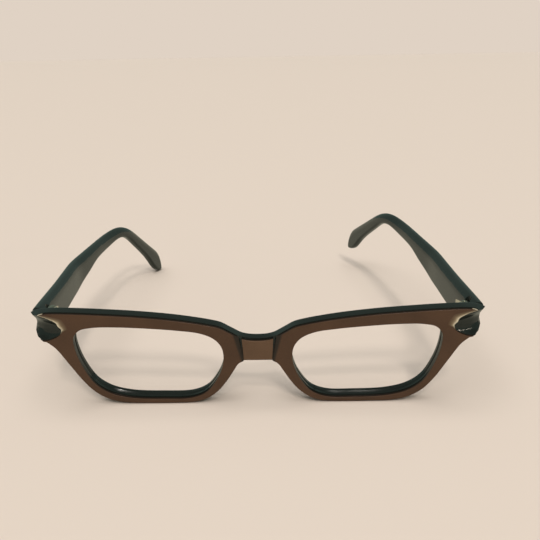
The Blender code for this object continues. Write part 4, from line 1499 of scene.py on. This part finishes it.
@dataclass
class Temple:
    """One temple with its core wire.

    From the angles called sharp, in degrees, an edge is rounded or stays an edge.
    """

    side: Side
    shape: FrontShape
    scoop: ScoopShape
    hinge: HingeShape
    path: TemplePath
    finishes: Finishes
    sharp: float = 38.0
    core_sharp: float = 32.0
    edge_mm: float = 0.12
    thickness: float = 3.8
    height: float = 9.7
    relief_sides: int = 64
    edge_round: float = 1.15
    corner_steps: int = 6
    crown: float = 0.15
    crown_steps: int = 6
    least_flat: float = 0.1
    least_narrowing: float = 0.3
    height_per_round: float = 3.0
    thickness_per_round: float = 2.4
    height_per_inner_round: float = 2.2
    rise: float = 0.6
    rise_length: float = 30.0
    root_round: float = 1.1
    root_outer_share: float = 0.15
    inner_top_round: float = 2.1
    inner_top_fall: float = 3.2
    tip_round: float = 9.0
    tip_foot_share: float = 0.3
    tip_edge_round: float = 1.1
    tip_flat: float = 0.015
    tip_steps: int = 6
    height_shares: tuple[tuple[float, float], ...] = (
        (0.00, 1.00), (0.12, 1.02), (0.22, 0.99), (0.30, 0.96), (0.38, 0.80), (0.46, 0.59),
        (0.56, 0.54), (0.68, 0.46), (0.78, 0.57), (0.88, 0.70), (0.96, 0.95), (1.00, 0.97))
    thickness_shares: tuple[tuple[float, float], ...] = (
        (0.00, 1.00), (0.30, 0.98), (0.60, 0.86), (0.80, 0.82), (1.00, 0.80))

    def build(self) -> None:
        """Make and dress every piece of the temple."""
        name = self.side.value
        body = f"{name}_side"
        path = self.path
        forward = path.frames[0][2]
        rings = [self.slid_to_front(self.section(0.0, -shrunk), forward, deep)
                 for deep, shrunk in quarter_round(0.0, self.root_round, True)]
        rings += [self.section(frame_at[0]) for frame_at in path.frames[1:-1]]
        rings += [self.section(path.length - path.step * (1 - step / self.tip_steps) ** 2)
                  for step in range(1, self.tip_steps + 1)]
        temple = lofted(f"{name}_polished_temple", rings)
        relief = round_bar("relief_cutter", self.hinge.axis(self.side),
                           self.hinge.barrel_radius + self.hinge.relief_gap,
                           -self.shape.height, 2 * self.shape.height, self.relief_sides)
        combine(temple, Joining.CUT, self.scoop.cutter(self.side), relief,
                leaf_slab(self.hinge, path, self.hinge.seat_room))
        tidy_edges(temple)
        soften(temple, self.sharp, self.edge_mm)
        finish_piece(temple, self.finishes.dark, body, "dark_acetate", f"{name}_temple")
        core = merged_copy(f"{name}_temple_core", f"{name}_core_wire")
        soften(core, self.core_sharp)
        finish_piece(core, self.finishes.wire, body, "core_wire", f"{name}_temple_core")

    def section(self, along: float, shrunk: float = 0.0) -> Ring:
        """One ring of the temple: a rounded oblong with a slightly crowned outer side.

        Args:
            along: The distance along the temple.
            shrunk: How far the ring is drawn in.

        Returns:
            The ring.
        """
        length = self.path.length
        share = along / length
        full = eased(self.height_shares, share) * self.height
        thick = eased(self.thickness_shares, share) * self.thickness
        left_over = max(length - along, self.tip_flat)
        closing = min(left_over / self.tip_round, 1.0)
        narrowing = math.sqrt(closing * (2 - closing))
        height = full * narrowing
        thinning = min(left_over / self.tip_edge_round, 1.0)
        aside = self.tip_edge_round * (1 - math.sqrt(thinning * (2 - thinning)))
        thick -= 2 * aside
        rounding = min(self.edge_round, height / self.height_per_round,
                       thick / self.thickness_per_round * max(narrowing, self.least_narrowing))
        foot = full - (full - height) * self.tip_foot_share
        top = foot - height - self.rise * (1 - ramp_up(along, 0.0, self.rise_length))
        wide = min(self.inner_top_round, height / self.height_per_inner_round,
                   thick - rounding - self.least_flat)
        fall = min(self.inner_top_fall, height - rounding - self.least_flat)
        corners = ((rounding, top + rounding, math.pi, rounding, rounding),
                   (thick - wide, top + fall, math.pi * 3 / 2, wide, fall),
                   (thick - rounding, foot - rounding, 0.0, rounding, rounding),
                   (rounding, foot - rounding, math.pi / 2, rounding, rounding))
        ring = []
        for depth, drop, start, reach, tall in corners:
            for step in range(self.corner_steps + 1):
                turn = start + step / self.corner_steps * math.pi / 2
                drawn_in = shrunk if math.cos(turn) > 0 else shrunk * self.root_outer_share
                ring.append((depth + (reach - drawn_in) * math.cos(turn),
                             drop + (tall - shrunk) * math.sin(turn)))
        low, high = corners[3][1], corners[0][1]
        for step in range(1, self.crown_steps):
            up = step / self.crown_steps
            ring.append((shrunk * self.root_outer_share - self.crown * 4 * up * (1 - up),
                         low + (high - low) * up))
        return [self.path.point(along, depth + aside, drop) for depth, drop in ring]

    def slid_to_front(self, ring: Ring, forward: Vector, behind: float) -> Ring:
        """Move a ring along a direction until it lies just behind the front's rear face.

        Args:
            ring: The ring.
            forward: The direction.
            behind: How much farther back it lies.

        Returns:
            The moved ring.
        """
        shape = self.shape
        back = Vector((0.0, math.cos(shape.lean), math.sin(shape.lean)))
        depth = shape.thickness + shape.seat_gap + behind
        return [point + forward * ((depth - back.dot(point - shape.origin)) / back.dot(forward))
                for point in ring]


def leaf_slab(hinge: HingeShape, path: TemplePath, spare: float = 0.0) -> bpy.types.Object:
    """Loft the flat leaf let into a temple's inner face, or its seat when it has spare room.

    Args:
        hinge: The hinge's sizes.
        path: The temple's path.
        spare: Room round it, or 0 for the leaf itself.

    Returns:
        The slab.
    """
    start = hinge.setback if spare else hinge.temple_leaf_start
    end = hinge.temple_leaf_start + hinge.temple_leaf_length + spare
    middle = hinge.front.temple_top - hinge.middle
    inner = hinge.temple_thickness + (hinge.front.overrun if spare else 0.0)
    outer = hinge.temple_thickness - hinge.leaf_thickness - spare
    rings = []
    stations = ((start, 1.0), (hinge.temple_leaf_start + hinge.leaf_thickness, 1.0),
                (end, hinge.temple_leaf_end_share))
    for along, share in stations:
        half = hinge.temple_leaf_height * share / 2 + spare
        rings.append([path.point(along, depth, drop)
                      for depth, drop in ((outer, middle - half), (inner, middle - half),
                                          (inner, middle + half), (outer, middle + half))])
    return lofted("leaf_slab", rings)


@dataclass
class Hinge:
    """The five-barrel hinge of one side: two leaves and a slotted screw.

    From the angle called sharp, in degrees, an edge is rounded or stays an edge.
    """

    side: Side
    shape: HingeShape
    path: TemplePath
    finishes: Finishes
    sharp: float = 40.0
    edge_mm: float = 0.09
    screw_edge_mm: float = 0.04

    def build(self) -> None:
        """Make and dress the two leaves and the screw."""
        self.build_front_leaf()
        self.build_temple_leaf()
        self.build_screw()

    def knuckle(self, index: int, toward: int, aside: float,
                arm_ends: Callable[[float], Ring]) -> bpy.types.Object:
        """One barrel and its arm in one profile.

        Args:
            index: Which barrel, counted from the lowest.
            toward: -1 where the arm runs to the front, 1 where it runs to the ear.
            aside: How far to the side of the axis the arm meets the barrel.
            arm_ends: The arm's two far corners at a height.

        Returns:
            The solid.
        """
        shape = self.shape
        axis = shape.axis(self.side)
        radius = shape.barrel_radius

        def meeting(across: float) -> float:
            """Turn at which a side of the arm meets the barrel."""
            return math.atan2(toward * math.sqrt(radius ** 2 - across ** 2), across)

        start = meeting(aside - toward * shape.arm_thickness / 2)
        span = (meeting(aside + toward * shape.arm_thickness / 2) - start) % (2 * math.pi)
        turns = [start + span * step / shape.barrel_steps
                 for step in range(shape.barrel_steps + 1)]
        arc = [Vector((axis.x + math.cos(turn) * radius, axis.y + math.sin(turn) * radius))
               for turn in turns]
        rings = []
        for height in shape.heights(index):
            ends = sorted(arm_ends(height), key=lambda corner: -toward * corner.x)
            rings.append([Vector((point.x, point.y, height)) for point in arc + ends])
        return lofted("knuckle", rings)

    def finish_leaf(self, leaf: bpy.types.Object, knuckles: list[bpy.types.Object], body: str,
                    node: str) -> None:
        """Join a leaf to its knuckles, bore it for the screw, round its edges and dress it.

        Args:
            leaf: The leaf.
            knuckles: Its barrels with their arms.
            body: The CAD body that it moves with.
            node: The CAD node that it stands for.
        """
        shape = self.shape
        combine(leaf, Joining.ADD, *knuckles)
        bore = round_bar("bore", shape.axis(self.side), shape.screw_radius + shape.running_gap,
                         0.0, 2 * shape.front.height)
        combine(leaf, Joining.CUT, bore)
        tidy_edges(leaf)
        soften(leaf, self.sharp, self.edge_mm)
        finish_piece(leaf, self.finishes.metal, body, "nickel_silver", node)

    def build_front_leaf(self) -> None:
        """The half on the front, with the first, third and fifth barrels."""
        shape = self.shape
        front = shape.front
        name, sign = self.side.value, self.side.sign
        leaf = shape.plate(self.side)
        leaf.name = f"{name}_front_leaf"

        def arm_ends(height: float) -> Ring:
            """Find the arm's two corners in the plate.

            Args:
                height: How high.

            Returns:
                The corners.
            """
            root = (front.origin.y + self.path.rear_plane(height - front.origin.z)
                    - front.seat_gap - shape.leaf_thickness / 2)
            outer = front.origin.x + sign * (shape.across - front.seat_gap)
            return [Vector((outer - sign * shape.arm_thickness, root)), Vector((outer, root))]

        aside = -sign * (front.seat_gap + shape.arm_thickness / 2)
        knuckles = [self.knuckle(index, -1, aside, arm_ends)
                    for index in range(0, shape.barrel_count, 2)]
        self.finish_leaf(leaf, knuckles, "front", f"{name}_front_hinge_leaf")

    def build_temple_leaf(self) -> None:
        """The half that turns with the temple, with the second and fourth barrels."""
        shape = self.shape
        name = self.side.value
        leaf = leaf_slab(shape, self.path)
        leaf.name = f"{name}_temple_leaf"

        def arm_ends(height: float) -> Ring:
            """Find the arm's two corners in the leaf.

            Args:
                height: How high.

            Returns:
                The corners.
            """
            drop = shape.front.temple_top - (height - shape.front.origin.z)
            return [self.path.point(shape.temple_leaf_start + shape.leaf_thickness,
                                    shape.temple_thickness - shape.leaf_thickness * share,
                                    drop).xy for share in shape.arm_root_shares]

        knuckles = [self.knuckle(index, 1, 0.0, arm_ends)
                    for index in range(1, shape.barrel_count, 2)]
        self.finish_leaf(leaf, knuckles, f"{name}_side", f"{name}_temple_hinge_leaf")

    def build_screw(self) -> None:
        """The slotted screw through all five barrels."""
        shape = self.shape
        name = self.side.value
        axis = shape.axis(self.side)
        foot = shape.front.origin.z + shape.foot
        head = shape.front.origin.z + shape.top + shape.running_gap
        profile = [(foot, shape.screw_radius * shape.point_share),
                   (foot + shape.point_length, shape.screw_radius), (head, shape.screw_radius),
                   (head, shape.head_radius - shape.head_chamfer),
                   (head + shape.head_chamfer, shape.head_radius)]
        profile += [(head + shape.head_height * rise, shape.head_radius * share)
                    for rise, share in shape.head_dome]
        turns = [2 * math.pi * step / ROUND_SIDES for step in range(ROUND_SIDES)]
        screw = lofted(f"{name}_slotted_screw",
                       [[Vector((axis.x + radius * math.cos(turn),
                                 axis.y + radius * math.sin(turn), height)) for turn in turns]
                        for height, radius in profile])
        half, reach = shape.slot_width / 2, shape.head_radius + shape.slot_overrun
        corners = ((-reach, -half), (reach, -half), (reach, half), (-reach, half))
        top = head + shape.head_height
        slot = lofted("slot", [[Vector((axis.x + x, axis.y + y, height)) for x, y in corners]
                               for height in (top - shape.slot_depth, top + shape.slot_overrun)])
        combine(screw, Joining.CUT, slot)
        tidy_edges(screw, FINE_MERGE_MM)
        soften(screw, self.sharp, self.screw_edge_mm)
        finish_piece(screw, self.finishes.metal, "front", "nickel_silver",
                     f"{name}_hinge_screw")


@dataclass
class Studio:
    """A plain pale floor, soft lamps and the camera at the photograph's viewing angle."""

    origin: Vector
    floor_size: float = 80.0
    floor_roughness: float = 0.8
    floor_specular: float = 0.2
    floor_colour: str = "#DACBBE"
    backdrop_colour: str = "#E0D2C4"
    low_reflected_colour: str = "#80958C"
    high_reflected_colour: str = "#5A605C"
    floor_reflected_colour: str = "#B7B2A0"
    low_sky: float = math.sin(math.radians(25))
    high_sky: float = math.sin(math.radians(48))
    filling_colour: str = "#DCE0DA"
    filling_strength: float = 0.40
    camera_place_mm: tuple[float, float, float] = (6.2304, -178.5795, 104.004)
    camera_pitch: float = 0.3244
    camera_yaw: float = -0.0119
    camera_roll: float = -0.0171
    lens_mm: float = 42.667
    sensor_mm: float = 36.0
    nearest: float = 0.01

    def build(self) -> None:
        """Make the floor, the lamps, the world and the camera."""
        self.build_floor()
        self.build_world()
        self.build_lamps()
        self.build_camera()

    def build_floor(self) -> None:
        """A large plain floor."""
        deselect_all()
        bpy.ops.mesh.primitive_plane_add(size=self.floor_size, location=(0.0, 0.0, 0.0))
        floor = bpy.context.object
        floor.name = "floor"
        material, shader = new_material("matt_board_floor")
        tree = material.node_tree
        rays = add_node(tree, "ShaderNodeLightPath").outputs
        tint = add_node(tree, "ShaderNodeMix", {"data_type": "RGBA"},
                        {"Factor": rays["Is Glossy Ray"], 6: linear(self.floor_colour),
                         7: linear(self.floor_reflected_colour)})
        feed(shader, {"Base Color": tint.outputs[2], "Roughness": self.floor_roughness,
                      "Specular IOR Level": self.floor_specular})
        floor.data.materials.append(material)

    def build_world(self) -> None:
        """A surround that is pale behind the object and a dim green grey where it is mirrored."""
        world = bpy.data.worlds.new("pale_studio")
        bpy.context.scene.world = world
        world.use_nodes = True
        tree = world.node_tree
        rays = add_node(tree, "ShaderNodeLightPath").outputs
        filling = linear(self.filling_colour)
        dimmed = [part * self.filling_strength for part in filling[:3]]
        toward = add_node(tree, "ShaderNodeTexCoord").outputs["Generated"]
        height = add_node(tree, "ShaderNodeSeparateXYZ", {}, {"Vector": toward}).outputs["Z"]
        raised = add_node(tree, "ShaderNodeMapRange", {"interpolation_type": "SMOOTHSTEP"},
                          {"Value": height, "From Min": self.low_sky,
                           "From Max": self.high_sky})
        sky = add_node(tree, "ShaderNodeMix", {"data_type": "RGBA"},
                       {"Factor": raised.outputs["Result"],
                        6: linear(self.low_reflected_colour),
                        7: linear(self.high_reflected_colour)})
        mirrored = add_node(tree, "ShaderNodeMix", {"data_type": "RGBA"},
                            {"Factor": rays["Is Glossy Ray"], 6: (*dimmed, 1.0),
                             7: sky.outputs[2]})
        seen = add_node(tree, "ShaderNodeMix", {"data_type": "RGBA"},
                        {"Factor": rays["Is Camera Ray"], 6: mirrored.outputs[2],
                         7: linear(self.backdrop_colour)})
        feed(tree.nodes["Background"], {"Color": seen.outputs[2]})

    def build_lamps(self) -> None:
        """Two soft lamps above the camera, a faint one low on the right and one overhead.

        The second lamp and the softbox aren't mirrored, so the polish shows only two lights.
        """
        for name, toward, angle, power, colour, mirrored in (
            ("key_lamp", (0.24, -1.18, 1.00), 7.0, 0.78, "#FFF9F2", True),
            ("second_lamp", (0.10, -0.82, 1.00), 6.0, 0.58, "#FFF9F2", False),
            ("side_lamp", (0.74, -0.62, 0.25), 3.0, 0.10, "#FFF0DC", True),
            ("overhead_softbox", (-0.10, -0.25, 1.00), 60.0, 1.75, "#FFFFFF", False),
        ):
            lamp = bpy.data.lights.new(name, "SUN")
            lamp.color = linear(colour)[:3]
            lamp.angle = math.radians(angle)
            lamp.energy = power
            holder = bpy.data.objects.new(name, lamp)
            bpy.context.scene.collection.objects.link(holder)
            holder.rotation_euler = Vector(toward).to_track_quat("Z", "Y").to_euler()
            holder.visible_glossy = mirrored

    def build_camera(self) -> None:
        """The camera where the photograph was taken."""
        pitch, yaw, roll = self.camera_pitch, self.camera_yaw, self.camera_roll
        ahead = Vector((math.sin(yaw) * math.cos(pitch), math.cos(yaw) * math.cos(pitch),
                        -math.sin(pitch)))
        level = Vector((math.cos(yaw), -math.sin(yaw), 0.0))
        upright = level.cross(ahead)
        across = level * math.cos(roll) + upright * math.sin(roll)
        up = upright * math.cos(roll) - level * math.sin(roll)
        camera = bpy.data.cameras.new("photo_camera")
        camera.sensor_width = self.sensor_mm
        camera.lens = self.lens_mm
        camera.clip_start = self.nearest
        holder = bpy.data.objects.new("photo_camera", camera)
        bpy.context.scene.collection.objects.link(holder)
        place = (Vector(self.camera_place_mm) + self.origin) * MM
        holder.matrix_world = Matrix((
            (across.x, up.x, -ahead.x, place.x),
            (across.y, up.y, -ahead.y, place.y),
            (across.z, up.z, -ahead.z, place.z),
            (0.0, 0.0, 0.0, 1.0)))
        bpy.context.scene.camera = holder


def find_origin() -> Vector:
    """Find where the front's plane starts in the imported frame.

    Returns:
        The place in millimetres, from the left hinge's axis.
    """
    drawn = HingeShape(FrontShape(Vector((0.0, 0.0, 0.0))))
    joint = next(item for item in frame["joints"] if item["child"] == "left_side")
    place = Vector(joint["pos_m"]) / MM
    return place - Vector((-drawn.across, drawn.back, drawn.middle))


def main() -> None:
    """Build the frame's looks and the studio."""
    logging.basicConfig(level=logging.INFO, format="%(name)s: %(message)s")
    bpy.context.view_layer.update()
    bpy.context.scene.view_settings.view_transform = "Standard"
    shape = FrontShape(find_origin())
    surface_mm = shape.depth_of(shape.origin)
    finishes = Finishes(surface_mm, surface_mm + shape.bridge_drop)
    scoop = ScoopShape(shape)
    hinge = HingeShape(shape)
    Front(shape, scoop, hinge, finishes).build()
    for side in Side:
        path = TemplePath(shape, side)
        Temple(side, shape, scoop, hinge, path, finishes).build()
        Hinge(side, hinge, path, finishes).build()
    Studio(shape.origin).build()


if __name__ == "__main__":
    main()
